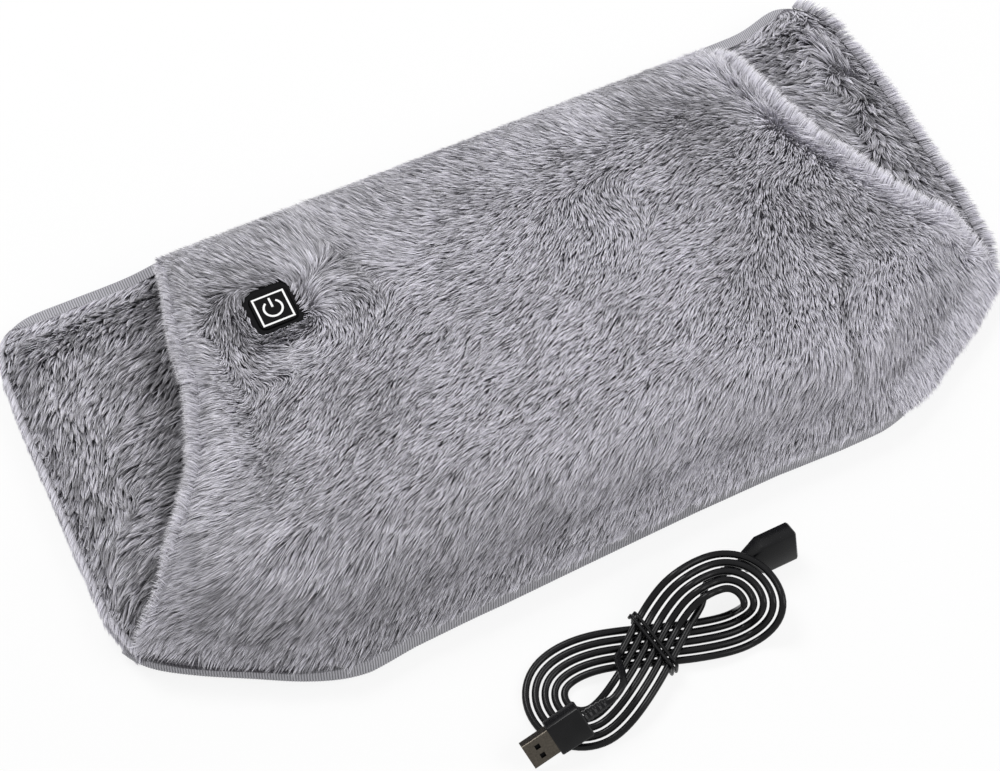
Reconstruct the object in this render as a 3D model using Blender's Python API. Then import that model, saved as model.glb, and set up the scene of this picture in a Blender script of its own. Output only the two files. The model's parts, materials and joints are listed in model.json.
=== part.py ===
"""Heated plush muff with a push switch, and its extension lead wound in a figure of eight.

X runs along the muff's length, Y from its lower sewn edge to its upper one, Z up.
The muff lies flat on its back, with the origin under its middle.
"""
import math

import bmesh
import bpy
from mathutils import Matrix, Vector

MM = 0.001

# Overall size of the muff
PAD_LENGTH = 420 * MM
PAD_DEPTH = 214.2 * MM

# Full thicknesses of the cloth layers, and what they thin to where they are sewn
BACK_PLUSH = 8 * MM
BACK_WADDING = 4 * MM
LINING_PLUSH = 6.5 * MM
FRONT_WADDING = 4 * MM
FRONT_PLUSH = 8 * MM
SEWN_PLUSH = 2 * MM
SEWN_WADDING = 0.9 * MM
HAND_SPACE = 10 * MM
LAYER_GAP = 0.3 * MM
SEWN_SPACE = 0.4 * MM

# How the layers swell away from a seam
SEAM_STRIP = 8 * MM
SEAM_LIFT = 2.6 * MM
PLUSH_SWELL_RUN = 26 * MM
WADDING_START = 12 * MM
HAND_SPACE_RUN = 46 * MM
RIM_LIFT = 2 * MM

# Binding tape over the sewn edges
TAPE_THICKNESS = 0.8 * MM
TAPE_WIDTH = 5.2 * MM
TAPE_CORNER = 0.5 * MM
TAPE_STEP_RUN = 14 * MM
TAPE_STEP_CLEARANCE = 2.5 * MM

# Heater
CARRIER_THICKNESS = 1 * MM
WIRE_CHANNEL = 2.3 * MM
WIRE_DIAMETER = 1.3 * MM
WIRE_SPACING = PAD_DEPTH * 0.0934
WIRE_RUN_LEFT = PAD_LENGTH * -0.157
WIRE_RUN_RIGHT = PAD_LENGTH * 0.224
WIRE_LOWEST_RUN = PAD_DEPTH * -0.243
WIRE_RUN_COUNT = 6
WIRE_RUN_POINTS = 8
WIRE_BEND_POINTS = 3
LEAD_WIRE_DIAMETER = 1.2 * MM
LEAD_WIRE_SPACING = 3.2 * MM
LEAD_WIRE_POINTS = 7
CUTOUT_LENGTH = 11 * MM
CUTOUT_WIDTH = 5 * MM
CUTOUT_THICKNESS = 1.5 * MM

# Push switch, stacked downwards from the patch's top face
SWITCH_X = PAD_LENGTH * -0.231
SWITCH_Y = PAD_DEPTH * 0.1845
SWITCH_RECESS = 4 * MM
FIT_GAP = 0.3 * MM
PATCH_SIDE = 26 * MM
PATCH_THICKNESS = 1.2 * MM
PATCH_CORNER = 4 * MM
KEY_SIDE = 17 * MM
KEY_CORNER = 2.5 * MM
KEY_PROUD = 0.6 * MM
KEY_FLANGE = 0.8 * MM
KEY_FLANGE_THICKNESS = 0.6 * MM
KEY_TRAVEL = 0.4 * MM
CASE_WALL = 1.2 * MM
CASE_CORNER = 2 * MM
DIFFUSER_THICKNESS = 1.6 * MM
DIFFUSER_OPENING = 9 * MM
BOARD_THICKNESS = 1 * MM
TACT_SIDE = 6 * MM
TACT_HEIGHT = 0.9 * MM
PLUNGER_DIAMETER = 3 * MM
PLUNGER_HEIGHT = 0.55 * MM
LED_LENGTH = 1.6 * MM
LED_WIDTH = 1 * MM
LED_HEIGHT = 0.6 * MM

# Grommet where the supply wires come through the lining
GROMMET_BORE = 4.4 * MM
GROMMET_NECK = 6.6 * MM
GROMMET_FLANGE = 10 * MM
GROMMET_FLANGE_THICKNESS = 1 * MM
GROMMET_X = SWITCH_X + 5 * MM
GROMMET_Y = SWITCH_Y + 18 * MM
GROMMET_SIDES = 16

# Extension lead
CORD_DIAMETER = 3 * MM
TURN_PITCH = 3.9 * MM
HANK_TURN_COUNT = 5
TURN_POINTS = 24
HANK_REACH = 49.5 * MM
HANK_SWELL = 13.5 * MM
HALF_TURN_DEG = 180
FULL_TURN_DEG = HALF_TURN_DEG * 2
HANK_START_DEG = 82
HANK_END_DEG = 95
HANK_LIFT_FLAT_DEG = 20
HANK_LIFT_END_DEG = 52
HANK_RISE = 14.6 * MM
HANK_RISE_MIDDLE_DEG = 18
HANK_RISE_FLAT_DEG = 30
HANK_RISE_END_DEG = 66
HANK_WAIST = Vector((-13 * MM, -PAD_DEPTH / 2 - 39.9 * MM, 0))
HANK_YAW_DEG = 9.5
TIE_DIAMETER = 1.5 * MM
TIE_CLEARANCE = 0.4 * MM
TIE_CORNER = 2.4 * MM
TIE_CORNER_POINTS = 4
TIE_TURN_COUNT = 2
TIE_STEP = 2.1 * MM

PLUG_WIDTH = 15.5 * MM
PLUG_HEIGHT = 7.6 * MM
PLUG_LENGTH = 15 * MM
PLUG_CORNER = 1.4 * MM
PLUG_NOSE_TAPER = 0.5 * MM
SHELL_WIDTH = 12 * MM
SHELL_HEIGHT = 4.5 * MM
SHELL_WALL = 0.35 * MM
SHELL_CORNER = 0.6 * MM
SHELL_PROUD = 11.9 * MM
SHELL_SEAT = 5 * MM
SHELL_WINDOW = 2.2 * MM
SHELL_WINDOW_SPACING = 4.6 * MM
SHELL_WINDOW_FROM_TIP = 5.4 * MM
TONGUE_THICKNESS = 1.9 * MM
CONTACT_WIDTH = 1 * MM
CONTACT_LENGTH = 7.5 * MM
CONTACT_THICKNESS = 0.25 * MM
CONTACT_SPACING = 2.3 * MM
CONTACT_COUNT = 4
PLUG_TIP_FROM_WAIST = Vector((-67.6 * MM, -22.8 * MM, 8 * MM))
PLUG_YAW_DEG = 186
PLUG_PITCH_DEG = 13
PLUG_ROLL_DEG = -52

SOCKET_WIDTH = 16 * MM
SOCKET_HEIGHT = 8.4 * MM
SOCKET_LENGTH = 15.5 * MM
SOCKET_BOOT_LENGTH = 8 * MM
SOCKET_BOOT_WIDTH = 7.2 * MM
SOCKET_BOOT_HEIGHT = 6 * MM
RECEPTACLE_WALL = 0.4 * MM
RECEPTACLE_DEPTH = 12.5 * MM
RECEPTACLE_SETBACK = 0.5 * MM
RECEPTACLE_CLEARANCE = 0.35 * MM
SOCKET_BACK_FROM_WAIST = Vector((56 * MM, 14.9 * MM, 9.2 * MM))
SOCKET_YAW_DEG = 1.6
SOCKET_ROLL_DEG = 72

RELIEF_LENGTH = 11 * MM
RELIEF_RIB_COUNT = 5
RELIEF_ROOT_RADIUS = 2.9 * MM
RELIEF_END_RADIUS = 2.2 * MM
RELIEF_GROOVE_DEPTH = 0.5 * MM

# Middle points of the two tails, in the hank's own frame, between their straight ends
PLUG_TAIL_ROUTE = (
    Vector((-17.2 * MM, 1.5 * MM, 9.1 * MM)),
    Vector((-22.9 * MM, -9.8 * MM, 16 * MM)),
)
SOCKET_TAIL_ROUTE = (
    Vector((25 * MM, 1.5 * MM, 8.6 * MM)),
    Vector((31.5 * MM, 7.4 * MM, 9.2 * MM)),
)
TAIL_POINT_STEP = 2.6 * MM

SECTION_CORNER_POINTS = 3
CUT_OVERRUN = 1 * MM
TUBE_SIDES_FINE = 2
TUBE_SIDES_LOOP = 1
SMOOTH_ANGLE = math.radians(40)

# Half-width of each panel at heights across the muff: (share of half-depth, share of half-length)
BACK_EDGE_SHARES = (
    (-1, 0.61), (-0.93, 0.70), (-0.86, 0.765), (-0.75, 0.85), (-0.58, 0.955), (-0.40, 0.99),
    (-0.1, 1), (0.24, 1), (0.52, 1), (0.78, 0.995), (0.86, 0.985), (0.93, 0.965), (1, 0.925),
)
FRONT_EDGE_SHARES = (
    (-1, 0.61), (-0.93, 0.70), (-0.86, 0.765), (-0.75, 0.85), (-0.58, 0.955), (-0.38, 0.885),
    (-0.1, 0.80), (0.24, 0.735), (0.52, 0.70), (0.78, 0.668), (0.86, 0.66), (0.93, 0.652), (1, 0.645),
)
OPENING_START_SHARE = -0.58
MIDDLE_ROW_SHARES = (-0.75, OPENING_START_SHARE, -0.38, -0.1, 0.24, 0.52, 0.74)
MIDDLE_COLUMN_COUNT = 14
RIM_THICKNESS_SHARES = (0.45, 0.85)
HANK_RISE_SHIFT_SHARES = (-0.34, -0.48)

COLOURS = {
    "grey_plush": ((0.32, 0.31, 0.34), 0.95, 0),
    "grey_lining": ((0.24, 0.23, 0.25), 0.95, 0),
    "wadding": ((0.8, 0.8, 0.78), 0.95, 0),
    "grey_tape": ((0.17, 0.17, 0.19), 0.9, 0),
    "carrier_felt": ((0.7, 0.7, 0.66), 0.95, 0),
    "carbon_wire": ((0.03, 0.03, 0.03), 0.5, 0),
    "lead_wire": ((0.5, 0.03, 0.03), 0.5, 0),
    "cutout_steel": ((0.6, 0.6, 0.6), 0.35, 1),
    "black_patch": ((0.01, 0.01, 0.012), 0.7, 0),
    "black_abs": ((0.012, 0.012, 0.012), 0.45, 0),
    "board_green": ((0.02, 0.12, 0.05), 0.5, 0),
    "clear_diffuser": ((0.8, 0.8, 0.8), 0.3, 0),
    "black_rubber": ((0.01, 0.01, 0.01), 0.6, 0),
    "black_pvc": ((0.008, 0.008, 0.009), 0.3, 0),
    "plated_steel": ((0.45, 0.43, 0.4), 0.22, 1),
    "gold_contact": ((0.8, 0.6, 0.25), 0.25, 1),
}


def clear_scene():
    for old in list(bpy.data.objects):
        bpy.data.objects.remove(old, do_unlink=True)


def finish_of(name):
    """The named finish as a material, made once."""
    found = bpy.data.materials.get(name)
    if found:
        return found
    colour, roughness, metallic = COLOURS[name]
    finish = bpy.data.materials.new(name)
    finish.use_nodes = True
    shader = finish.node_tree.nodes["Principled BSDF"]
    shader.inputs["Base Color"].default_value = (*colour, 1)
    shader.inputs["Roughness"].default_value = roughness
    shader.inputs["Metallic"].default_value = metallic
    return finish


def new_piece(name, shape, finish, parent=None):
    piece = bpy.data.objects.new(name, shape)
    bpy.context.scene.collection.objects.link(piece)
    shape.materials.append(finish_of(finish))
    piece.parent = parent
    return piece


def mesh_piece(name, solid, finish, parent=None):
    """Turn a bmesh into a named object, smooth but for its sharp edges."""
    shape = bpy.data.meshes.new(name)
    solid.to_mesh(shape)
    solid.free()
    shape.shade_smooth()
    shape.set_sharp_from_angle(angle=SMOOTH_ANGLE)
    return new_piece(name, shape, finish, parent)


def cut(piece, cutter):
    """Cut one piece with another, which then only guides."""
    cutter.hide_render = True
    cutter.display_type = "WIRE"
    trim = piece.modifiers.new("cut", "BOOLEAN")
    trim.operation = "DIFFERENCE"
    trim.solver = "EXACT"
    trim.object = cutter


def empty_frame(name, place, turn):
    frame = bpy.data.objects.new(name, None)
    bpy.context.scene.collection.objects.link(frame)
    frame.matrix_world = Matrix.Translation(place) @ turn
    return frame


def share_at(table, share):
    """Read a table of shares between its rows."""
    if share <= table[0][0]:
        return table[0][1]
    for (low, first), (high, second) in zip(table, table[1:]):
        if share <= high:
            return first + (second - first) * (share - low) / (high - low)
    return table[-1][1]


# The layered panels: every layer uses the same grid, so that their facets nest


def half_depth():
    """The plush stops short of the tape that wraps its edge."""
    return PAD_DEPTH / 2 - TAPE_THICKNESS - LAYER_GAP


def half_width(table, y):
    return share_at(table, y / half_depth()) * PAD_LENGTH / 2


def row_places():
    edge = half_depth()
    rows = [-edge, -edge + SEAM_STRIP, -edge + SEAM_STRIP * 2]
    rows += [edge * share for share in MIDDLE_ROW_SHARES]
    return rows + [edge - SEAM_STRIP * 2, edge - SEAM_STRIP, edge]


def edge_run(table, rows, index):
    """How far along X one strip's width reaches, where the edge slants."""
    low = max(index - 1, 0)
    high = min(index + 1, len(rows) - 1)
    lean = (half_width(table, rows[high]) - half_width(table, rows[low])) / (rows[high] - rows[low])
    return SEAM_STRIP * math.sqrt(1 + lean * lean)


def panel_grid(table):
    """Grid points of one panel, row by row."""
    rows = row_places()
    grid = []
    for index, y in enumerate(rows):
        half = half_width(table, y)
        run = edge_run(table, rows, index)
        inner = half - run * 2
        line = [-half, -half + run]
        line += [-inner + inner * 2 * step / MIDDLE_COLUMN_COUNT for step in range(MIDDLE_COLUMN_COUNT + 1)]
        line += [half - run, half]
        grid.append([Vector((x, y, 0)) for x in line])
    return grid


def lower_seam():
    """The seam line up both cut corners and along the lower edge."""
    rows = [y for y in row_places() if y <= half_depth() * OPENING_START_SHARE + LAYER_GAP]
    right = [Vector((half_width(BACK_EDGE_SHARES, y), y, 0)) for y in rows]
    left = [Vector((-point.x, point.y, 0)) for point in right]
    return left[::-1] + right


def distance_to_line(point, line):
    nearest = PAD_LENGTH
    for first, second in zip(line, line[1:]):
        along = second - first
        share = max(0, min(1, (point - first).dot(along) / along.length_squared))
        nearest = min(nearest, (first + along * share - point).length)
    return nearest


def seam_distance(point):
    return min(half_depth() - point.y, distance_to_line(point, lower_seam()))


def swell(distance, start, run):
    """A quarter of an ellipse, from 0 at the start to 1 after the run."""
    share = max(0, min(1, (distance - start) / run))
    return math.sqrt(1 - (1 - share) ** 2)


def rim_share(table, point, grid_row, column):
    """Plush thins where it folds round an open edge."""
    from_edge = min(column, len(grid_row) - 1 - column)
    if from_edge < len(RIM_THICKNESS_SHARES):
        return RIM_THICKNESS_SHARES[from_edge]
    return 1


def layer_heights(distance, rim, inside, full, sewn):
    """Thickness of one plush layer."""
    return (sewn + (full - sewn) * swell(distance, SEAM_STRIP, PLUSH_SWELL_RUN)) * max(rim, sewn / full)


def wadding_height(distance, full, inside):
    if not inside:
        return 0
    return SEWN_WADDING + (full - SEWN_WADDING) * swell(distance, WADDING_START, PLUSH_SWELL_RUN)


def is_inside(grid, row, column, margin):
    rows = len(grid) - 1
    columns = len(grid[row]) - 1
    return margin <= row <= rows - margin and margin <= column <= columns - margin


WADDING_MARGIN_COUNT = 2
CARRIER_MARGIN_COUNT = 3
CHANNEL_MARGIN_COUNT = 4


def back_profile(point, rim, rim_lift, inside):
    """Heights of the back panel's faces at one point, from the floor up."""
    distance = seam_distance(point)
    floor = SEAM_LIFT * (1 - swell(distance, SEAM_STRIP, SEAM_STRIP))
    floor = max(floor, rim_lift)
    plush_top = floor + layer_heights(distance, rim, inside, BACK_PLUSH, SEWN_PLUSH)
    wadding_low = plush_top + LAYER_GAP
    wadding = wadding_height(distance, BACK_WADDING, inside)
    wadding_top = wadding_low + wadding
    lining_low = wadding_top + LAYER_GAP if inside else wadding_low
    lining_top = lining_low + layer_heights(distance, rim, inside, LINING_PLUSH, SEWN_PLUSH)
    return floor, plush_top, wadding_low, wadding_top, lining_low, lining_top


def build_panel_heights():
    """Heights of every face of both panels at every grid point."""
    back = panel_grid(BACK_EDGE_SHARES)
    back_faces = []
    for row, line in enumerate(back):
        faces = []
        for column, point in enumerate(line):
            from_edge = min(column, len(line) - 1 - column)
            open_edge = from_edge == 0 and seam_distance(point) > SEAM_STRIP
            rim_lift = RIM_LIFT if open_edge else 0
            rim = rim_share(BACK_EDGE_SHARES, point, line, column)
            faces.append(back_profile(point, rim, rim_lift, is_inside(back, row, column, WADDING_MARGIN_COUNT)))
        back_faces.append(faces)
    front = panel_grid(FRONT_EDGE_SHARES)
    front_faces = []
    for row, line in enumerate(front):
        faces = []
        for column, point in enumerate(line):
            distance = seam_distance(point)
            from_edge = min(column, len(line) - 1 - column)
            rim = rim_share(FRONT_EDGE_SHARES, point, line, column)
            rim_lift = RIM_LIFT * swell(distance, SEAM_STRIP, HAND_SPACE_RUN) if from_edge == 0 else 0
            low = back_profile(point, 1, 0, distance > WADDING_START)[-1]
            low += SEWN_SPACE + (HAND_SPACE - SEWN_SPACE) * swell(distance, SEAM_STRIP, HAND_SPACE_RUN)
            low += rim_lift
            top = low + layer_heights(distance, rim, True, LINING_PLUSH, SEWN_PLUSH)
            carrier_low = top + LAYER_GAP
            carrier_top = carrier_low
            if is_inside(front, row, column, CARRIER_MARGIN_COUNT):
                carrier_top += CARRIER_THICKNESS
            wadding_low = carrier_top
            if is_inside(front, row, column, CARRIER_MARGIN_COUNT):
                wadding_low += LAYER_GAP
            if is_inside(front, row, column, CHANNEL_MARGIN_COUNT):
                wadding_low += WIRE_CHANNEL - LAYER_GAP
            wadding = wadding_height(distance, FRONT_WADDING, is_inside(front, row, column, WADDING_MARGIN_COUNT))
            wadding_top = wadding_low + wadding
            outer_low = wadding_top + LAYER_GAP if wadding else wadding_low
            outer_top = outer_low + layer_heights(distance, rim, True, FRONT_PLUSH, SEWN_PLUSH)
            faces.append((low, top, carrier_low, carrier_top, wadding_low, wadding_top, outer_low, outer_top))
        front_faces.append(faces)
    return back, back_faces, front, front_faces


def cell_triangles(row, column, columns):
    """The two triangles of a grid cell, mirrored about the middle column."""
    a, b, c, d = (row, column), (row, column + 1), (row + 1, column + 1), (row + 1, column)
    if column * 2 < columns - 1:
        return (a, b, d), (b, c, d)
    return (a, b, c), (a, c, d)


def grid_solid(grid, faces, low, high, margin):
    """A closed layer between two of a panel's faces, over the grid less a margin."""
    solid = bmesh.new()
    rows = range(margin, len(grid) - margin)
    columns = range(margin, len(grid[0]) - margin)
    under = {}
    over = {}
    for row in rows:
        for column in columns:
            place = grid[row][column]
            under[row, column] = solid.verts.new((place.x, place.y, faces[row][column][low]))
            over[row, column] = solid.verts.new((place.x, place.y, faces[row][column][high]))
    for row in rows[:-1]:
        for column in columns[:-1]:
            for trio in cell_triangles(row, column, len(grid[0])):
                solid.faces.new([over[corner] for corner in trio])
                solid.faces.new([under[corner] for corner in trio[::-1]])
    edge = [(rows[0], column) for column in columns]
    edge += [(row, columns[-1]) for row in rows[1:]]
    edge += [(rows[-1], column) for column in columns[-2::-1]]
    edge += [(row, columns[0]) for row in rows[-2:0:-1]]
    for here, there in zip(edge, edge[1:] + edge[:1]):
        solid.faces.new((under[here], under[there], over[there], over[here]))
    return solid


def height_at(grid, faces, face, x, y):
    """Height of a panel's face at a point, read from the same triangles as its solid."""
    target = Vector((x, y, 0))
    for row in range(len(grid) - 1):
        if not grid[row][0].y <= y <= grid[row + 1][0].y:
            continue
        for column in range(len(grid[row]) - 1):
            for trio in cell_triangles(row, column, len(grid[0])):
                height = height_in_triangle(grid, faces, face, trio, target)
                if height is not None:
                    return height
    raise ValueError("the point lies outside the panel")


def height_in_triangle(grid, faces, face, trio, target):
    first, second, third = (grid[row][column] for row, column in trio)
    area = (second - first).cross(third - first).z
    share_two = (target - first).cross(third - first).z / area
    share_three = (second - first).cross(target - first).z / area
    share_one = 1 - share_two - share_three
    slack = -LAYER_GAP
    if min(share_one, share_two, share_three) < slack:
        return None
    heights = [faces[row][column][face] for row, column in trio]
    return heights[0] * share_one + heights[1] * share_two + heights[2] * share_three


def make_panels(back, back_faces, front, front_faces):
    pieces = {}
    layers = (
        ("back_outer_plush", back, back_faces, 0, 1, 0, "grey_plush"),
        ("back_wadding", back, back_faces, 2, 3, WADDING_MARGIN_COUNT, "wadding"),
        ("back_inner_plush", back, back_faces, 4, 5, 0, "grey_lining"),
        ("front_inner_plush", front, front_faces, 0, 1, 0, "grey_lining"),
        ("heater_carrier", front, front_faces, 2, 3, CARRIER_MARGIN_COUNT, "carrier_felt"),
        ("front_wadding", front, front_faces, 4, 5, WADDING_MARGIN_COUNT, "wadding"),
        ("front_outer_plush", front, front_faces, 6, 7, 0, "grey_plush"),
    )
    for name, grid, faces, low, high, margin, finish in layers:
        pieces[name] = mesh_piece(name, grid_solid(grid, faces, low, high, margin), finish)
    return pieces


# Binding tapes


def tape_profile(floor, ceiling):
    """Outline of the folded tape: (distance out from the cloth's edge, height)."""
    inner = LAYER_GAP
    outer = LAYER_GAP + TAPE_THICKNESS
    low = floor - LAYER_GAP
    high = ceiling + LAYER_GAP
    return (
        (-TAPE_WIDTH, low - TAPE_THICKNESS),
        (outer - TAPE_CORNER, low - TAPE_THICKNESS),
        (outer, low - TAPE_THICKNESS + TAPE_CORNER),
        (outer, high + TAPE_THICKNESS - TAPE_CORNER),
        (outer - TAPE_CORNER, high + TAPE_THICKNESS),
        (-TAPE_WIDTH, high + TAPE_THICKNESS),
        (-TAPE_WIDTH, high),
        (inner, high),
        (inner, low),
        (-TAPE_WIDTH, low),
    )


def outward(line, index):
    """Mitred sideways direction of a line that runs anticlockwise round the muff."""
    before = (line[index] - line[max(index - 1, 0)]).normalized()
    after = (line[min(index + 1, len(line) - 1)] - line[index]).normalized()
    mean = (before + after).normalized()
    side = Vector((mean.y, -mean.x, 0))
    leg = after if after.length else before
    square = Vector((leg.y, -leg.x, 0))
    return side / max(side.dot(square), TAPE_CORNER / TAPE_WIDTH)


def swept_tape(name, line, heights):
    solid = bmesh.new()
    rings = []
    for index, point in enumerate(line):
        side = outward(line, index)
        profile = tape_profile(*heights[index])
        rings.append([solid.verts.new(point + side * out + Vector((0, 0, height))) for out, height in profile])
    for ring, following in zip(rings, rings[1:]):
        for corner in range(len(ring)):
            after = (corner + 1) % len(ring)
            solid.faces.new((ring[corner], following[corner], following[after], ring[after]))
    solid.faces.new(rings[0])
    solid.faces.new(rings[-1][::-1])
    bmesh.ops.recalc_face_normals(solid, faces=solid.faces)
    return mesh_piece(name, solid, "grey_tape")


def make_bindings():
    sewn_back = SEWN_PLUSH * 2 + LAYER_GAP
    sewn_all = sewn_back * 2 + SEWN_SPACE
    lower = lower_seam()
    lower[0] += (lower[1] - lower[0]).normalized() * TAPE_WIDTH
    lower[-1] += (lower[-2] - lower[-1]).normalized() * TAPE_WIDTH
    swept_tape("bottom_binding", lower, [(SEAM_LIFT, SEAM_LIFT + sewn_all)] * len(lower))
    edge = half_depth()
    back_end = half_width(BACK_EDGE_SHARES, edge)
    front_end = half_width(FRONT_EDGE_SHARES, edge - SEAM_STRIP) + TAPE_STEP_CLEARANCE
    stops = (back_end, front_end + TAPE_STEP_RUN, front_end, 0)
    right = [Vector((x, edge, 0)) for x in stops]
    left = [Vector((-point.x, point.y, 0)) for point in right[-2::-1]]
    low_side = (SEAM_LIFT, SEAM_LIFT + sewn_back)
    high_side = (SEAM_LIFT, SEAM_LIFT + sewn_all)
    heights = [low_side, low_side, high_side, high_side, high_side, low_side, low_side]
    swept_tape("top_binding", right + left, heights)


# Tubes


def smooth_points(route, step):
    """Points at an even step along a smooth curve through the route."""
    padded = [route[0] * 2 - route[1]] + list(route) + [route[-1] * 2 - route[-2]]
    points = [route[0]]
    for index in range(1, len(padded) - 2):
        p0, p1, p2, p3 = padded[index - 1:index + 3]
        pieces = max(1, round((p2 - p1).length / step))
        for piece in range(1, pieces + 1):
            t = piece / pieces
            bend = p1 * 2 + (p2 - p0) * t
            bend += (p0 * 2 - p1 * 5 + p2 * 4 - p3) * t * t
            bend += (p1 * 3 - p0 - p2 * 3 + p3) * t * t * t
            points.append(bend / 2)
    return points


def tube(name, points, radius, finish, sides, parent=None, radii=None, closed=False):
    path = bpy.data.curves.new(name, "CURVE")
    path.dimensions = "3D"
    path.fill_mode = "FULL"
    path.bevel_depth = radius
    path.bevel_resolution = sides
    path.use_fill_caps = True
    add_run(path, points, radii, closed)
    return new_piece(name, path, finish, parent)


def add_run(path, points, radii=None, closed=False):
    run = path.splines.new("POLY")
    run.points.add(len(points) - 1)
    for index, point in enumerate(points):
        run.points[index].co = (*point, 1)
        if radii:
            run.points[index].radius = radii[index]
    run.use_cyclic_u = closed


# Heater wiring, laid in the channel between the carrier and the wadding


def channel_point(front, faces, x, y):
    low = height_at(front, faces, 3, x, y)
    high = height_at(front, faces, 4, x, y)
    return Vector((x, y, (low + high) / 2))


def heater_route():
    """There-and-back runs joined by half turns, from below the cut-out."""
    radius = WIRE_SPACING / 2
    route = [(WIRE_RUN_LEFT - radius - CUTOUT_WIDTH, WIRE_LOWEST_RUN)]
    for run in range(WIRE_RUN_COUNT):
        y = WIRE_LOWEST_RUN + WIRE_SPACING * run
        ends = (WIRE_RUN_LEFT, WIRE_RUN_RIGHT) if run % 2 == 0 else (WIRE_RUN_RIGHT, WIRE_RUN_LEFT)
        for step in range(WIRE_RUN_POINTS):
            share = step / (WIRE_RUN_POINTS - 1)
            route.append((ends[0] + (ends[1] - ends[0]) * share, y))
        if run == WIRE_RUN_COUNT - 1:
            break
        turn_side = 1 if run % 2 == 0 else -1
        for step in range(1, WIRE_BEND_POINTS + 1):
            angle = math.pi * step / (WIRE_BEND_POINTS + 1)
            route.append((ends[1] + turn_side * radius * math.sin(angle), y + radius - radius * math.cos(angle)))
    return route


def channel_run(front, faces, start, end):
    """A straight pair of wires in the channel."""
    points = []
    for step in range(LEAD_WIRE_POINTS):
        share = step / (LEAD_WIRE_POINTS - 1)
        x = start[0] + (end[0] - start[0]) * share
        y = start[1] + (end[1] - start[1]) * share
        points.append(channel_point(front, faces, x, y))
    return points


def make_heater(front, faces):
    route = heater_route()
    tube(
        "heating_wire", [channel_point(front, faces, x, y) for x, y in route],
        WIRE_DIAMETER / 2, "carbon_wire", 0,
    )
    first, last = route[0], route[-1]
    reach = WIRE_DIAMETER / 2 + LEAD_WIRE_DIAMETER / 2 + LAYER_GAP
    case_edge = SWITCH_X + (KEY_SIDE / 2)
    cutout_y = (first[1] + SWITCH_Y) / 2
    cutout_low = cutout_y - CUTOUT_LENGTH / 2
    cutout_high = cutout_y + CUTOUT_LENGTH / 2
    column_x = first[0] - reach
    runs = (
        ("cutout_lead", (column_x, first[1]), (column_x, cutout_low - LAYER_GAP)),
        ("heater_lead_cold", (column_x, cutout_high + LAYER_GAP), (case_edge, SWITCH_Y - LEAD_WIRE_SPACING)),
        ("heater_lead_live", (last[0] - reach, last[1]), (case_edge, SWITCH_Y + LEAD_WIRE_SPACING)),
    )
    for name, start, end in runs:
        tube(name, channel_run(front, faces, start, end), LEAD_WIRE_DIAMETER / 2, "lead_wire", 0)
    middle = channel_point(front, faces, column_x, cutout_y)
    lean = channel_point(front, faces, column_x, cutout_high).z - channel_point(front, faces, column_x, cutout_low).z
    cutout = rounded_block(
        "thermal_cutout", CUTOUT_WIDTH, CUTOUT_LENGTH, CUTOUT_THICKNESS, CASE_WALL, "cutout_steel",
    )
    cutout.location = middle - Vector((0, 0, CUTOUT_THICKNESS / 2))
    cutout.rotation_euler.x = math.atan2(lean, CUTOUT_LENGTH)


# Blocks with rounded corners


def rounded_outline(half_x, half_y, corner):
    """Points round a rounded rectangle, anticlockwise."""
    points = []
    for quarter in range(4):
        side_x = 1 if quarter in (0, 3) else -1
        side_y = 1 if quarter in (0, 1) else -1
        centre = Vector((side_x * (half_x - corner), side_y * (half_y - corner), 0))
        for step in range(SECTION_CORNER_POINTS):
            angle = math.pi / 2 * (quarter + step / (SECTION_CORNER_POINTS - 1))
            points.append(centre + Vector((math.cos(angle), math.sin(angle), 0)) * corner)
    return points


def add_loft(solid, rings):
    """A closed skin over rings of equal count, capped at both ends."""
    made = [[solid.verts.new(point) for point in ring] for ring in rings]
    for ring, following in zip(made, made[1:]):
        for corner in range(len(ring)):
            after = (corner + 1) % len(ring)
            solid.faces.new((ring[corner], ring[after], following[after], following[corner]))
    solid.faces.new(made[0][::-1])
    solid.faces.new(made[-1])


def rounded_block(name, width, depth, height, corner, finish, parent=None):
    """An upright block on its own base plane."""
    solid = bmesh.new()
    outline = rounded_outline(width / 2, depth / 2, corner)
    add_loft(solid, [outline, [point + Vector((0, 0, height)) for point in outline]])
    return mesh_piece(name, solid, finish, parent)


def add_frame(solid, outer, inner, low, high):
    """A closed frame between two outlines of equal count."""
    rings = []
    for outline, level in ((outer, low), (outer, high), (inner, high), (inner, low)):
        rings.append([solid.verts.new((point.x, point.y, level)) for point in outline])
    for ring, following in zip(rings, rings[1:] + rings[:1]):
        for corner in range(len(ring)):
            after = (corner + 1) % len(ring)
            solid.faces.new((ring[corner], ring[after], following[after], following[corner]))


# Push switch


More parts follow.
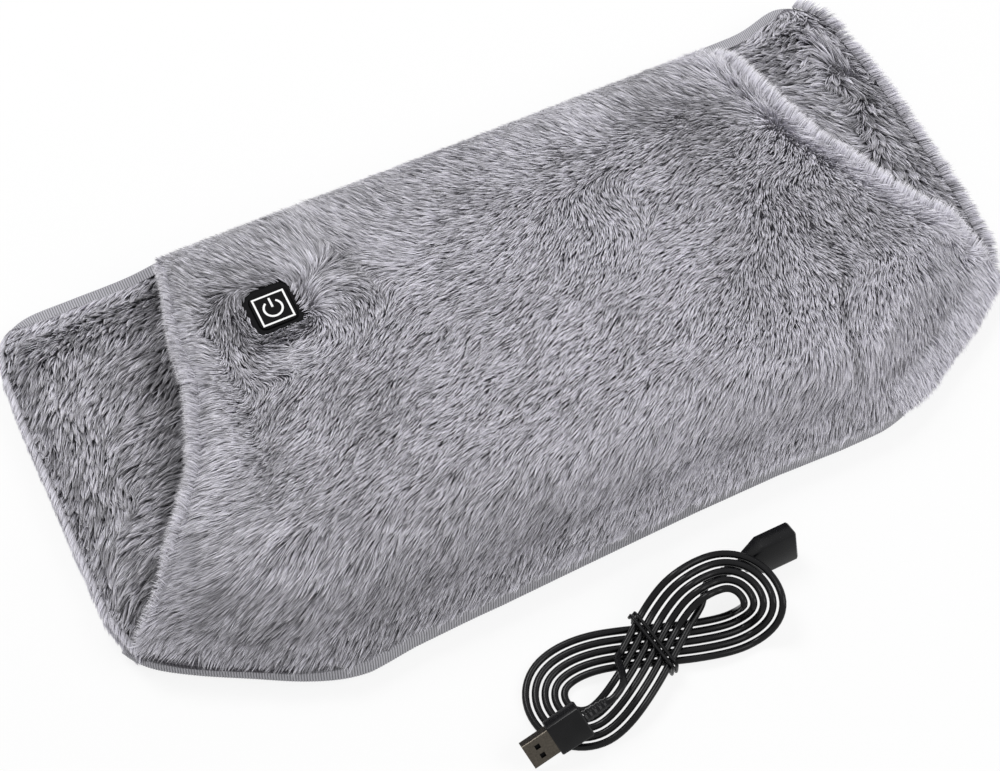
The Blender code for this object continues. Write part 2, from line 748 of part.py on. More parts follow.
def make_switch(pieces, front, faces):
    case_inner = KEY_SIDE + KEY_FLANGE * 2 + FIT_GAP * 2
    case_side = case_inner + CASE_WALL * 2
    well = case_side + FIT_GAP * 2
    surface = height_at(front, faces, 7, SWITCH_X, SWITCH_Y)
    corners = [
        (SWITCH_X + side_x * well / 2, SWITCH_Y + side_y * well / 2)
        for side_x in (-1, 1) for side_y in (-1, 1)
    ]
    channel_top = [height_at(front, faces, 4, x, y) for x, y in corners]
    patch_top = surface - SWITCH_RECESS
    patch_low = patch_top - PATCH_THICKNESS
    case_top = patch_low - FIT_GAP
    key_flange_top = case_top
    key_low = key_flange_top - KEY_FLANGE_THICKNESS
    diffuser_top = key_low - KEY_TRAVEL - FIT_GAP
    diffuser_low = diffuser_top - DIFFUSER_THICKNESS
    board_top = diffuser_low - FIT_GAP
    board_low = board_top - BOARD_THICKNESS
    case_floor = board_low - FIT_GAP
    case_low = max(channel_top)
    place = Vector((SWITCH_X, SWITCH_Y, 0))

    def put(piece, level):
        piece.location = place + Vector((0, 0, level))
        return piece

    case_well = put(rounded_block(
        "case_well_cutter", well, well, surface - case_low + WIRE_CHANNEL + CUT_OVERRUN, CASE_CORNER, "black_abs",
    ), case_low - WIRE_CHANNEL)
    patch_well = put(rounded_block(
        "patch_well_cutter", PATCH_SIDE + FIT_GAP * 2, PATCH_SIDE + FIT_GAP * 2,
        SWITCH_RECESS + PATCH_THICKNESS + FIT_GAP + SWITCH_RECESS, PATCH_CORNER, "black_abs",
    ), patch_low - FIT_GAP)
    cut(pieces["front_wadding"], case_well)
    cut(pieces["front_outer_plush"], case_well)
    cut(pieces["front_outer_plush"], patch_well)

    solid = bmesh.new()
    window = KEY_SIDE + FIT_GAP * 2
    add_frame(
        solid, rounded_outline(PATCH_SIDE / 2, PATCH_SIDE / 2, PATCH_CORNER),
        rounded_outline(window / 2, window / 2, KEY_CORNER + FIT_GAP), 0, PATCH_THICKNESS,
    )
    put(mesh_piece("switch_surround", solid, "black_patch"), patch_low)

    solid = bmesh.new()
    outer = rounded_outline(case_side / 2, case_side / 2, CASE_CORNER)
    inner = rounded_outline(case_inner / 2, case_inner / 2, CASE_CORNER - CASE_WALL / 2)
    rings = [outer, [point + Vector((0, 0, case_top - case_low)) for point in outer]]
    rings.append([point + Vector((0, 0, case_top - case_low)) for point in inner])
    rings.append([point + Vector((0, 0, case_floor - case_low)) for point in inner])
    add_loft(solid, rings)
    put(mesh_piece("switch_housing", solid, "black_abs"), case_low)

    board_side = case_inner - FIT_GAP * 2
    put(rounded_block(
        "switch_board", board_side, board_side, BOARD_THICKNESS, CASE_CORNER - CASE_WALL / 2, "board_green",
    ), board_low)
    solid = bmesh.new()
    add_frame(
        solid, rounded_outline(board_side / 2, board_side / 2, CASE_CORNER - CASE_WALL / 2),
        rounded_outline(DIFFUSER_OPENING / 2, DIFFUSER_OPENING / 2, CASE_WALL), 0, DIFFUSER_THICKNESS,
    )
    put(mesh_piece("light_diffuser", solid, "clear_diffuser"), diffuser_low)
    put(rounded_block("tact_switch_body", TACT_SIDE, TACT_SIDE, TACT_HEIGHT, FIT_GAP, "black_abs"), board_top + FIT_GAP)

    led_place = (TACT_SIDE / 2 + DIFFUSER_OPENING / 2) / 2
    for side, label in ((-1, "red"), (1, "blue")):
        led = rounded_block(f"status_led_{label}", LED_WIDTH, LED_LENGTH, LED_HEIGHT, FIT_GAP, "clear_diffuser")
        put(led, board_top + FIT_GAP).location.x += side * led_place

    solid = bmesh.new()
    flange = rounded_outline(KEY_SIDE / 2 + KEY_FLANGE, KEY_SIDE / 2 + KEY_FLANGE, CASE_CORNER - CASE_WALL / 2)
    cap = rounded_outline(KEY_SIDE / 2, KEY_SIDE / 2, KEY_CORNER)
    crown_inset = KEY_PROUD / 2
    crown = rounded_outline(KEY_SIDE / 2 - crown_inset, KEY_SIDE / 2 - crown_inset, KEY_CORNER - crown_inset)
    cap_top = patch_top + KEY_PROUD - key_low
    rings = [flange, [point + Vector((0, 0, KEY_FLANGE_THICKNESS)) for point in flange]]
    rings.append([point + Vector((0, 0, KEY_FLANGE_THICKNESS)) for point in cap])
    rings.append([point + Vector((0, 0, cap_top - crown_inset)) for point in cap])
    rings.append([point + Vector((0, 0, cap_top)) for point in crown])
    add_loft(solid, rings)
    put(mesh_piece("power_key", solid, "black_abs"), key_low)

    plunger = bmesh.new()
    bmesh.ops.create_cone(
        plunger, cap_ends=True, segments=GROMMET_SIDES, radius1=PLUNGER_DIAMETER / 2,
        radius2=PLUNGER_DIAMETER / 2, depth=PLUNGER_HEIGHT,
    )
    put(mesh_piece("tact_plunger", plunger, "clear_diffuser"), key_low - FIT_GAP - PLUNGER_HEIGHT / 2)
    return case_low


# Supply grommet and wires


def make_supply(pieces, front, faces):
    x = GROMMET_X
    low = height_at(front, faces, 0, x, GROMMET_Y)
    high = height_at(front, faces, 3, x, GROMMET_Y)
    ahead = height_at(front, faces, 3, x, GROMMET_Y + GROMMET_NECK / 2)
    behind = height_at(front, faces, 3, x, GROMMET_Y - GROMMET_NECK / 2)
    lean = math.atan2(ahead - behind, GROMMET_NECK)
    middle = Vector((x, GROMMET_Y, (low + high) / 2))
    turn = Matrix.Rotation(lean, 4, "X")
    thickness = high - low
    bore = bmesh.new()
    bmesh.ops.create_cone(
        bore, cap_ends=True, segments=GROMMET_SIDES, radius1=GROMMET_NECK / 2 + FIT_GAP,
        radius2=GROMMET_NECK / 2 + FIT_GAP, depth=thickness + CUT_OVERRUN * 4,
    )
    cutter = mesh_piece("grommet_cutter", bore, "black_rubber")
    cutter.matrix_world = Matrix.Translation(middle) @ turn
    cut(pieces["front_inner_plush"], cutter)
    cut(pieces["heater_carrier"], cutter)

    lower = -thickness / 2 - FIT_GAP - GROMMET_FLANGE_THICKNESS
    profile = (
        (GROMMET_BORE / 2, lower),
        (GROMMET_FLANGE / 2, lower),
        (GROMMET_FLANGE / 2, lower + GROMMET_FLANGE_THICKNESS),
        (GROMMET_NECK / 2, lower + GROMMET_FLANGE_THICKNESS),
        (GROMMET_NECK / 2, thickness / 2 - FIT_GAP),
        (GROMMET_BORE / 2, thickness / 2 - FIT_GAP),
    )
    solid = bmesh.new()
    rings = []
    for side in range(GROMMET_SIDES):
        angle = math.tau * side / GROMMET_SIDES
        rings.append([
            solid.verts.new((radius * math.cos(angle), radius * math.sin(angle), level))
            for radius, level in profile
        ])
    for ring, following in zip(rings, rings[1:] + rings[:1]):
        for corner in range(len(ring)):
            after = (corner + 1) % len(ring)
            solid.faces.new((ring[corner], following[corner], following[after], ring[after]))
    bmesh.ops.recalc_face_normals(solid, faces=solid.faces)
    grommet = mesh_piece("supply_grommet", solid, "black_rubber")
    grommet.matrix_world = Matrix.Translation(middle) @ turn

    spread = GROMMET_BORE / 2 - LEAD_WIRE_DIAMETER / 2 - FIT_GAP
    for side, label in ((-1, "cold"), (1, "live")):
        bottom = middle + turn @ Vector((side * spread, 0, lower))
        bend = channel_point(front, faces, x + side * spread, GROMMET_Y)
        ahead_y = GROMMET_Y - GROMMET_NECK
        route = [bottom, bend - Vector((0, 0, LEAD_WIRE_DIAMETER)), bend - Vector((0, LEAD_WIRE_DIAMETER, 0))]
        route += channel_run(front, faces, (x + side * spread, ahead_y), (x + side * spread, SWITCH_Y))
        tube(f"supply_lead_{label}", route, LEAD_WIRE_DIAMETER / 2, "lead_wire", 0)


# Extension lead


def hank_angles():
    start = math.radians(HANK_START_DEG)
    span = math.tau * HANK_TURN_COUNT + math.radians(HANK_END_DEG) - start
    count = round(span / math.tau * TURN_POINTS)
    return [start + span * step / count for step in range(count + 1)]


def faded(away, flat, end):
    """1 up to the flat's end, easing to 0."""
    share = max(0, min(1, (away - flat) / (end - flat)))
    return 1 - share * share * (3 - share * 2)


def hank_point(angle):
    """One point of the figure of eight, spiralled sideways, lifted at its waist and over the socket."""
    place = Vector((HANK_REACH * math.cos(angle), HANK_SWELL * math.sin(angle * 2), 0))
    heading = Vector((-HANK_REACH * math.sin(angle), HANK_SWELL * 2 * math.cos(angle * 2), 0)).normalized()
    left = Vector((-heading.y, heading.x, 0))
    shift = TURN_PITCH / math.tau * (math.tau * HANK_TURN_COUNT / 2 + math.pi / 2 - angle)
    quarter = (angle / math.pi - 1 / 2) % 2
    from_over = abs((quarter + 1) % 2 - 1) * math.pi
    from_under = math.pi - from_over
    over = from_over < from_under
    away = math.degrees(min(from_over, from_under))
    lift = TIE_DIAMETER + LAYER_GAP
    if over:
        lift += TURN_PITCH
    place += left * shift
    place.z = CORD_DIAMETER / 2 + lift * faded(away, HANK_LIFT_FLAT_DEG, HANK_LIFT_END_DEG)
    from_rise = abs((math.degrees(angle) - HANK_RISE_MIDDLE_DEG + HALF_TURN_DEG) % FULL_TURN_DEG - HALF_TURN_DEG)
    rise = HANK_RISE * faded(from_rise, HANK_RISE_FLAT_DEG, HANK_RISE_END_DEG)
    return place + Vector((*HANK_RISE_SHIFT_SHARES, 1)) * rise


def hank_points():
    """The wound route, with a straight diameter at each end."""
    points = [hank_point(angle) for angle in hank_angles()]
    first = points[0] + (points[0] - points[1]).normalized() * CORD_DIAMETER
    last = points[-1] + (points[-1] - points[-2]).normalized() * CORD_DIAMETER
    return [first] + points + [last]


def least_gap(points, width):
    """Least clear distance between stretches of one route that are not neighbours."""
    fine = []
    for first, second in zip(points, points[1:]):
        fine += [first.lerp(second, share / TURN_PITCH * MM) for share in (0, 1, 2, 3)]
    runs = [0]
    for first, second in zip(fine, fine[1:]):
        runs.append(runs[-1] + (second - first).length)
    least = PAD_LENGTH
    for index, point in enumerate(fine):
        for other in range(index + 1, len(fine)):
            if runs[other] - runs[index] > width * math.pi:
                least = min(least, (point - fine[other]).length)
    return least - width


def tail_points(start, heading, route, end, arrival):
    """From one straight diameter, along the chosen points, to another."""
    chosen = [start, start + heading * CORD_DIAMETER]
    chosen += list(route)
    chosen += [end - arrival * CORD_DIAMETER, end]
    return smooth_points(chosen, TAIL_POINT_STEP)


def tie_points():
    """Two turns of thin cord round the waist."""
    slant = math.cos(math.atan2(HANK_SWELL * 2, HANK_REACH))
    half_bundle = (TURN_PITCH * HANK_TURN_COUNT / 2 + CORD_DIAMETER / 2) / slant
    half_width_out = half_bundle + TIE_CLEARANCE + TIE_DIAMETER / 2
    low = TIE_DIAMETER / 2
    high = CORD_DIAMETER + TIE_DIAMETER + LAYER_GAP + TURN_PITCH + TIE_CLEARANCE + TIE_DIAMETER / 2
    middle = (low + high) / 2
    half_high = (high - low) / 2
    ring = []
    for quarter in range(4):
        side_w = 1 if quarter in (0, 3) else -1
        side_z = 1 if quarter in (0, 1) else -1
        for step in range(TIE_CORNER_POINTS):
            angle = math.pi / 2 * (quarter + step / (TIE_CORNER_POINTS - 1))
            w = side_w * (half_width_out - TIE_CORNER) + TIE_CORNER * math.cos(angle)
            z = middle + side_z * (half_high - TIE_CORNER) + TIE_CORNER * math.sin(angle)
            ring.append((w, z))
    points = []
    count = len(ring) * TIE_TURN_COUNT
    for step in range(count):
        w, z = ring[step % len(ring)]
        points.append(Vector((TIE_STEP * (step / len(ring) - TIE_TURN_COUNT / 2), w, z)))
    return points


def plug_axes(yaw, pitch, roll):
    """Turn whose X is the way the connector points."""
    turn = Matrix.Rotation(math.radians(yaw), 4, "Z")
    turn @= Matrix.Rotation(math.radians(pitch), 4, "Y")
    turn @= Matrix.Rotation(math.radians(roll), 4, "X")
    return turn


def across(x, outline):
    """An outline set upright across the connector's own X."""
    return [Vector((x, point.x, point.y)) for point in outline]


def connector_body(name, sections, finish, parent):
    """A moulded body over sections of (x, width, height, corner)."""
    solid = bmesh.new()
    rings = [across(x, rounded_outline(width / 2, height / 2, corner)) for x, width, height, corner in sections]
    add_loft(solid, rings)
    return mesh_piece(name, solid, finish, parent)


def metal_sleeve(name, x_low, x_high, width, height, wall, corner, finish, parent):
    """A pressed rectangular tube, open at both ends."""
    solid = bmesh.new()
    outer = rounded_outline(width / 2, height / 2, corner)
    inner = rounded_outline(width / 2 - wall, height / 2 - wall, corner - wall / 2)
    rings = []
    for x, outline in ((x_low, outer), (x_high, outer), (x_high, inner), (x_low, inner)):
        rings.append([solid.verts.new(point) for point in across(x, outline)])
    for ring, following in zip(rings, rings[1:] + rings[:1]):
        for corner_index in range(len(ring)):
            after = (corner_index + 1) % len(ring)
            solid.faces.new((ring[corner_index], ring[after], following[after], following[corner_index]))
    return mesh_piece(name, solid, finish, parent)


def contact_strips(name, x_low, level, parent):
    for index in range(CONTACT_COUNT):
        middle = CONTACT_SPACING * (index - (CONTACT_COUNT - 1) / 2)
        solid = bmesh.new()
        rings = []
        for x in (x_low, x_low + CONTACT_LENGTH):
            rings.append([
                Vector((x, middle + CONTACT_WIDTH / 2, level)),
                Vector((x, middle + CONTACT_WIDTH / 2, level + CONTACT_THICKNESS)),
                Vector((x, middle - CONTACT_WIDTH / 2, level + CONTACT_THICKNESS)),
                Vector((x, middle - CONTACT_WIDTH / 2, level)),
            ])
        add_loft(solid, rings)
        bmesh.ops.recalc_face_normals(solid, faces=solid.faces)
        mesh_piece(f"{name}_{index + 1}", solid, "gold_contact", parent)


def ribbed_relief(name, x_root, parent):
    """A short ribbed boot that tapers away from the body, along its own minus X."""
    points = []
    radii = []
    steps = RELIEF_RIB_COUNT * 2
    for step in range(steps + 1):
        share = step / steps
        radius = RELIEF_ROOT_RADIUS + (RELIEF_END_RADIUS - RELIEF_ROOT_RADIUS) * share
        if step % 2 == 1:
            radius -= RELIEF_GROOVE_DEPTH
        points.append(Vector((x_root - RELIEF_LENGTH * share, 0, 0)))
        radii.append(radius / RELIEF_ROOT_RADIUS)
    return tube(name, points, RELIEF_ROOT_RADIUS, "black_pvc", TUBE_SIDES_FINE, parent, radii)


def make_plug(frame):
    """A plug whose body runs from x = 0 at its back to its nose, with the shell beyond."""
    body = connector_body("plug_overmould", (
        (0, PLUG_WIDTH - PLUG_CORNER, PLUG_HEIGHT - PLUG_CORNER, PLUG_CORNER / 2),
        (PLUG_CORNER / 2, PLUG_WIDTH, PLUG_HEIGHT, PLUG_CORNER),
        (PLUG_LENGTH - PLUG_NOSE_TAPER, PLUG_WIDTH - PLUG_NOSE_TAPER, PLUG_HEIGHT - PLUG_NOSE_TAPER, PLUG_CORNER),
        (PLUG_LENGTH, PLUG_WIDTH - PLUG_NOSE_TAPER * 2, PLUG_HEIGHT - PLUG_NOSE_TAPER * 2, PLUG_CORNER),
    ), "black_pvc", frame)
    pocket = connector_body("shell_pocket_cutter", (
        (PLUG_LENGTH - SHELL_SEAT - FIT_GAP, SHELL_WIDTH + FIT_GAP * 2, SHELL_HEIGHT + FIT_GAP * 2, SHELL_CORNER),
        (PLUG_LENGTH + CUT_OVERRUN, SHELL_WIDTH + FIT_GAP * 2, SHELL_HEIGHT + FIT_GAP * 2, SHELL_CORNER),
    ), "black_pvc", frame)
    cut(body, pocket)
    tip = PLUG_LENGTH + SHELL_PROUD
    shell = metal_sleeve(
        "plug_shell", PLUG_LENGTH - SHELL_SEAT, tip, SHELL_WIDTH, SHELL_HEIGHT, SHELL_WALL, SHELL_CORNER,
        "plated_steel", frame,
    )
    for side in (-1, 1):
        window = connector_body(f"shell_window_cutter_{side}", (
            (-SHELL_WINDOW / 2, SHELL_WINDOW, SHELL_HEIGHT + CUT_OVERRUN * 2, SHELL_WALL / 2),
            (SHELL_WINDOW / 2, SHELL_WINDOW, SHELL_HEIGHT + CUT_OVERRUN * 2, SHELL_WALL / 2),
        ), "plated_steel", frame)
        window.location = (tip - SHELL_WINDOW_FROM_TIP, side * SHELL_WINDOW_SPACING / 2, 0)
        cut(shell, window)
    inner_half = SHELL_HEIGHT / 2 - SHELL_WALL
    tongue_middle = inner_half - FIT_GAP - TONGUE_THICKNESS / 2
    tongue_width = SHELL_WIDTH - SHELL_WALL * 2 - FIT_GAP * 2
    tongue = connector_body("plug_tongue", (
        (PLUG_LENGTH - SHELL_SEAT, tongue_width, TONGUE_THICKNESS, SHELL_WALL / 2),
        (tip - CONTACT_WIDTH, tongue_width, TONGUE_THICKNESS, SHELL_WALL / 2),
    ), "black_abs", frame)
    tongue.location.z = tongue_middle
    contact_level = tongue_middle - TONGUE_THICKNESS / 2 - FIT_GAP - CONTACT_THICKNESS
    contact_strips("plug_contact", tip - CONTACT_WIDTH * 2 - CONTACT_LENGTH, contact_level, frame)
    ribbed_relief("plug_strain_relief", -FIT_GAP, frame)


def make_socket(frame):
    """The in-line socket: boot, body, receptacle, tongue and contacts."""
    body = connector_body("socket_overmould", (
        (-SOCKET_BOOT_LENGTH, SOCKET_BOOT_WIDTH, SOCKET_BOOT_HEIGHT, PLUG_CORNER),
        (0, SOCKET_WIDTH, SOCKET_HEIGHT, PLUG_CORNER),
        (SOCKET_LENGTH - PLUG_CORNER / 2, SOCKET_WIDTH, SOCKET_HEIGHT, PLUG_CORNER),
        (SOCKET_LENGTH, SOCKET_WIDTH - PLUG_CORNER, SOCKET_HEIGHT - PLUG_CORNER, PLUG_CORNER / 2),
    ), "black_pvc", frame)
    sleeve_width = SHELL_WIDTH + RECEPTACLE_CLEARANCE * 2 + RECEPTACLE_WALL * 2
    sleeve_height = SHELL_HEIGHT + RECEPTACLE_CLEARANCE * 2 + RECEPTACLE_WALL * 2
    sleeve_low = SOCKET_LENGTH - RECEPTACLE_SETBACK - RECEPTACLE_DEPTH
    pocket = connector_body("receptacle_pocket_cutter", (
        (sleeve_low - FIT_GAP, sleeve_width + FIT_GAP * 2, sleeve_height + FIT_GAP * 2, SHELL_CORNER),
        (SOCKET_LENGTH + CUT_OVERRUN, sleeve_width + FIT_GAP * 2, sleeve_height + FIT_GAP * 2, SHELL_CORNER),
    ), "black_pvc", frame)
    cut(body, pocket)
    metal_sleeve(
        "socket_shell", sleeve_low, sleeve_low + RECEPTACLE_DEPTH, sleeve_width, sleeve_height,
        RECEPTACLE_WALL, SHELL_CORNER, "plated_steel", frame,
    )
    tongue_width = SHELL_WIDTH - SHELL_WALL * 2 - FIT_GAP * 2
    tongue = connector_body("socket_tongue", (
        (sleeve_low, tongue_width, TONGUE_THICKNESS, SHELL_WALL / 2),
        (sleeve_low + RECEPTACLE_DEPTH - CONTACT_SPACING, tongue_width, TONGUE_THICKNESS, SHELL_WALL / 2),
    ), "black_abs", frame)
    tongue_middle = -SHELL_HEIGHT / 2 + SHELL_WALL + FIT_GAP + TONGUE_THICKNESS / 2
    tongue.location.z = tongue_middle
    contact_level = tongue_middle + TONGUE_THICKNESS / 2 + FIT_GAP
    contact_strips("socket_contact", sleeve_low + CONTACT_WIDTH, contact_level, frame)
    ribbed_relief("socket_strain_relief", -SOCKET_BOOT_LENGTH - FIT_GAP, frame)


def make_lead():
    hank_turn = Matrix.Rotation(math.radians(HANK_YAW_DEG), 4, "Z")
    hank_frame = empty_frame("hank_frame", HANK_WAIST, hank_turn)
    points = hank_points()
    print(f"hank: least gap to itself {least_gap(points, CORD_DIAMETER) / MM:.2f} mm")
    tube("cord_hank", points, CORD_DIAMETER / 2, "black_pvc", TUBE_SIDES_LOOP, hank_frame)
    tube("cord_tie", tie_points(), TIE_DIAMETER / 2, "black_pvc", TUBE_SIDES_LOOP, hank_frame)

    plug_turn = plug_axes(PLUG_YAW_DEG, PLUG_PITCH_DEG, PLUG_ROLL_DEG)
    plug_back = HANK_WAIST + PLUG_TIP_FROM_WAIST - plug_turn @ Vector((PLUG_LENGTH + SHELL_PROUD, 0, 0))
    plug_frame = empty_frame("plug_frame", plug_back, plug_turn)
    make_plug(plug_frame)
    socket_turn = plug_axes(SOCKET_YAW_DEG, 0, SOCKET_ROLL_DEG)
    socket_frame = empty_frame("socket_frame", HANK_WAIST + SOCKET_BACK_FROM_WAIST, socket_turn)
    make_socket(socket_frame)

    to_hank = hank_frame.matrix_world.inverted()
    reach = RELIEF_LENGTH + FIT_GAP * 2
    plug_mouth = to_hank @ (plug_frame.matrix_world @ Vector((-reach, 0, 0)))
    plug_heading = (to_hank.to_3x3() @ plug_turn.to_3x3() @ Vector((1, 0, 0))).normalized()
    leaving = (points[-1] - points[-2]).normalized()
    plug_tail = tail_points(points[-1] + leaving * FIT_GAP, leaving, PLUG_TAIL_ROUTE, plug_mouth, plug_heading)
    tube("cord_tail_plug", plug_tail, CORD_DIAMETER / 2, "black_pvc", TUBE_SIDES_FINE, hank_frame)

    reach = SOCKET_BOOT_LENGTH + RELIEF_LENGTH + FIT_GAP * 2
    socket_mouth = to_hank @ (socket_frame.matrix_world @ Vector((-reach, 0, 0)))
    socket_heading = (to_hank.to_3x3() @ socket_turn.to_3x3() @ Vector((1, 0, 0))).normalized()
    entering = (points[0] - points[1]).normalized()
    socket_tail = tail_points(
        points[0] + entering * FIT_GAP, entering, SOCKET_TAIL_ROUTE, socket_mouth, socket_heading,
    )
    tube("cord_tail_socket", socket_tail, CORD_DIAMETER / 2, "black_pvc", TUBE_SIDES_FINE, hank_frame)


def main():
    clear_scene()
    back, back_faces, front, front_faces = build_panel_heights()
    pieces = make_panels(back, back_faces, front, front_faces)
    make_bindings()
    make_heater(front, front_faces)
    make_switch(pieces, front, front_faces)
    make_supply(pieces, front, front_faces)
    make_lead()


main()
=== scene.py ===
# %% [markdown]
# # A plush hand muff with its extension lead
# The muff is a flat tube of long grey pile, open at both ends, with a push switch on its front.
# Its lead lies in front of it, wound in a figure of eight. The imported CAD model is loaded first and
# never moves: it says where everything is. The pile, tape, cord and print are then built on it.

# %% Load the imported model
import json
import math
import bpy
import bmesh
import numpy as np
from mathutils import Matrix, Vector
from mathutils.bvhtree import BVHTree


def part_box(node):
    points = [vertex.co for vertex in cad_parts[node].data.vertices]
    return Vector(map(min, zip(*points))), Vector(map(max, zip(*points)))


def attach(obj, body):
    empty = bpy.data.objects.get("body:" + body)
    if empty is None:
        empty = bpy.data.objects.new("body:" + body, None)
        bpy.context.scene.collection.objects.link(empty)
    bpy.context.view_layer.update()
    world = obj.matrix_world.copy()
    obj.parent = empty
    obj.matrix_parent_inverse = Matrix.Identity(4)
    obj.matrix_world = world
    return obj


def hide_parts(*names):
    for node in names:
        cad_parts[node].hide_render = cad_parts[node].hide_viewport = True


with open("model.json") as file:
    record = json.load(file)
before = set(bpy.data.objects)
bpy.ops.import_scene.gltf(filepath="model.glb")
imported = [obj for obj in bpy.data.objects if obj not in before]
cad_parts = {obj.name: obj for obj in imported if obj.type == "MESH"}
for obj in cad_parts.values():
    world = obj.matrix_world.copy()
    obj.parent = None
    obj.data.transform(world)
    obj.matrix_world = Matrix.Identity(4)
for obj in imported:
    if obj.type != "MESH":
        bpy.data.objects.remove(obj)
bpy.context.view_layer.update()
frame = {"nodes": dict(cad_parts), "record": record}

MM = 0.001
scene = bpy.context.scene

# %% [markdown]
# ## Small tools
# A colour picker gives sRGB hex values, while Blender's shaders add up light and so need linear
# ones. One function does that step. A second one adds a node with its settings and links. The others
# are steps that several materials share, so that each material reads as a short recipe.


# %% Colours and nodes
def linear(hex_colour):
    """A hex colour as the picker shows it, turned to the linear values that a shader reads."""
    parts = [int(hex_colour[i:i + 2], 16) / 255 for i in (1, 3, 5)]
    return tuple(p / 12.92 if p <= 0.04045 else ((p + 0.055) / 1.055) ** 2.4 for p in parts) + (1,)


def node(tree, kind, inputs=None, **settings):
    """Add a node. An input is given a value, or a socket of another node to link from."""
    made = tree.nodes.new(kind)
    for name, value in settings.items():
        setattr(made, name, value)
    for name, value in (inputs or {}).items():
        if isinstance(value, bpy.types.NodeSocket):
            tree.links.new(value, made.inputs[name])
        else:
            made.inputs[name].default_value = value
    return made


def ramp(tree, factor, *stops):
    """A colour ramp from (place, hex colour) stops."""
    made = node(tree, "ShaderNodeValToRGB", {"Fac": factor})
    points = made.color_ramp.elements
    while len(points) < len(stops):
        points.new(1)
    for point, (place, colour) in zip(points, stops):
        point.position = place
        point.color = linear(colour)
    return made.outputs["Color"]


def material(name, plain):
    """A new material, its node tree and its shader, whose plain sockets hold one value all over."""
    made = bpy.data.materials.new(name)
    made.use_nodes = True
    shader = made.node_tree.nodes["Principled BSDF"]
    for socket, value in plain.items():
        shader.inputs[socket].default_value = value
    return made, made.node_tree, shader


def object_point(tree):
    """Object coordinates in millimetres."""
    place = node(tree, "ShaderNodeTexCoord").outputs["Object"]
    return node(tree, "ShaderNodeMapping", {"Vector": place, "Scale": [1 / MM] * 3}).outputs["Vector"]


def noise(tree, scale, detail, **more):
    """Noise with about this many grains to a millimetre."""
    inputs = {"Vector": object_point(tree), "Scale": scale, "Detail": detail, **more}
    return node(tree, "ShaderNodeTexNoise", inputs).outputs["Fac"]


def paint(tree, shader, factor, *stops):
    """Colour a shader by a ramp."""
    tree.links.new(ramp(tree, factor, *stops), shader.inputs["Base Color"])


def paint_shaded(tree, shader, colour, shade):
    """Colour a shader by a colour times a shade."""
    inputs = {0: 1.0, 6: colour, 7: shade}
    mixed = node(tree, "ShaderNodeMix", inputs, data_type="RGBA", blend_type="MULTIPLY")
    tree.links.new(mixed.outputs[2], shader.inputs["Base Color"])


def roughen(tree, shader, factor, low, high):
    rough = node(tree, "ShaderNodeMapRange", {"Value": factor, "To Min": low, "To Max": high})
    tree.links.new(rough.outputs["Result"], shader.inputs["Roughness"])


def emboss(tree, shader, height, strength, depth):
    """Relief too fine to model, up to the given depth."""
    bump = node(tree, "ShaderNodeBump", {"Height": height, "Strength": strength, "Distance": depth})
    tree.links.new(bump.outputs["Normal"], shader.inputs["Normal"])


# %% Modelling helpers
def deselect_all():
    if bpy.context.object and bpy.context.object.mode != "OBJECT":
        bpy.ops.object.mode_set(mode="OBJECT")
    bpy.ops.object.select_all(action="DESELECT")


def take(piece):
    deselect_all()
    piece.select_set(True)
    bpy.context.view_layer.objects.active = piece


def apply_all(piece):
    """Apply every modifier, so that the shape is in the mesh."""
    take(piece)
    for modifier in list(piece.modifiers):
        bpy.ops.object.modifier_apply(modifier=modifier.name)


def mesh_object(name, shape, finish):
    piece = bpy.data.objects.new(name, shape)
    scene.collection.objects.link(piece)
    shape.materials.append(finish)
    return piece


def solid_object(name, solid, finish):
    """A closed bmesh as a piece, with its faces turned outwards."""
    bmesh.ops.recalc_face_normals(solid, faces=solid.faces)
    shape = bpy.data.meshes.new(name)
    solid.to_mesh(shape)
    solid.free()
    return mesh_object(name, shape, finish)


def edit_all(piece, *steps):
    """Run mesh operators on all of a piece. A step is an operator with its settings."""
    take(piece)
    bpy.ops.object.mode_set(mode="EDIT")
    bpy.ops.mesh.select_all(action="SELECT")
    for operator, settings in steps:
        operator(**settings)
    bpy.ops.object.mode_set(mode="OBJECT")


def copy_of(node_name, name, finish):
    """A merged copy of a CAD node, to be finished as a new piece."""
    shape = frame["nodes"][node_name].data.copy()
    shape.materials.clear()
    piece = mesh_object(name, shape, finish)
    edit_all(
        piece,
        (bpy.ops.mesh.remove_doubles, {"threshold": 0.01 * MM}),
        (bpy.ops.mesh.customdata_custom_splitnormals_clear, {}),
        (bpy.ops.mesh.mark_sharp, {"clear": True}),
    )
    return piece


def dress(piece, body, slot, *node_names):
    """Say which body a piece moves with and which CAD nodes it replaces. The slot is not used."""
    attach(piece, body)
    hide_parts(*node_names)


# %% [markdown]
# ## Camera, floor and light
# The camera was fitted to the muff's sewn edges: a 90 mm lens about 1.07 m away, 59.5 degrees above
# the table and 25.4 degrees round to the left. The photograph has a pure white ground, so the floor
# shows white to the camera and to reflections, and still takes a soft shadow.

# %% Camera
AZIMUTH = math.radians(-25.4)
ELEVATION = math.radians(59.5)
LOOK_AT = Vector((-16, -9, 0)) * MM
DISTANCE = 1.073
back = Vector((
    math.sin(AZIMUTH) * math.cos(ELEVATION),
    -math.cos(AZIMUTH) * math.cos(ELEVATION),
    math.sin(ELEVATION),
))
lens = bpy.data.cameras.new("camera")
lens.lens = 90
lens.sensor_width = 36
lens.clip_start = 0.05
camera = bpy.data.objects.new("camera", lens)
scene.collection.objects.link(camera)
camera.location = LOOK_AT + back * DISTANCE
camera.rotation_mode = "QUATERNION"
camera.rotation_quaternion = (-back).to_track_quat("-Z", "Y")
scene.camera = camera
scene.view_settings.view_transform = "Standard"


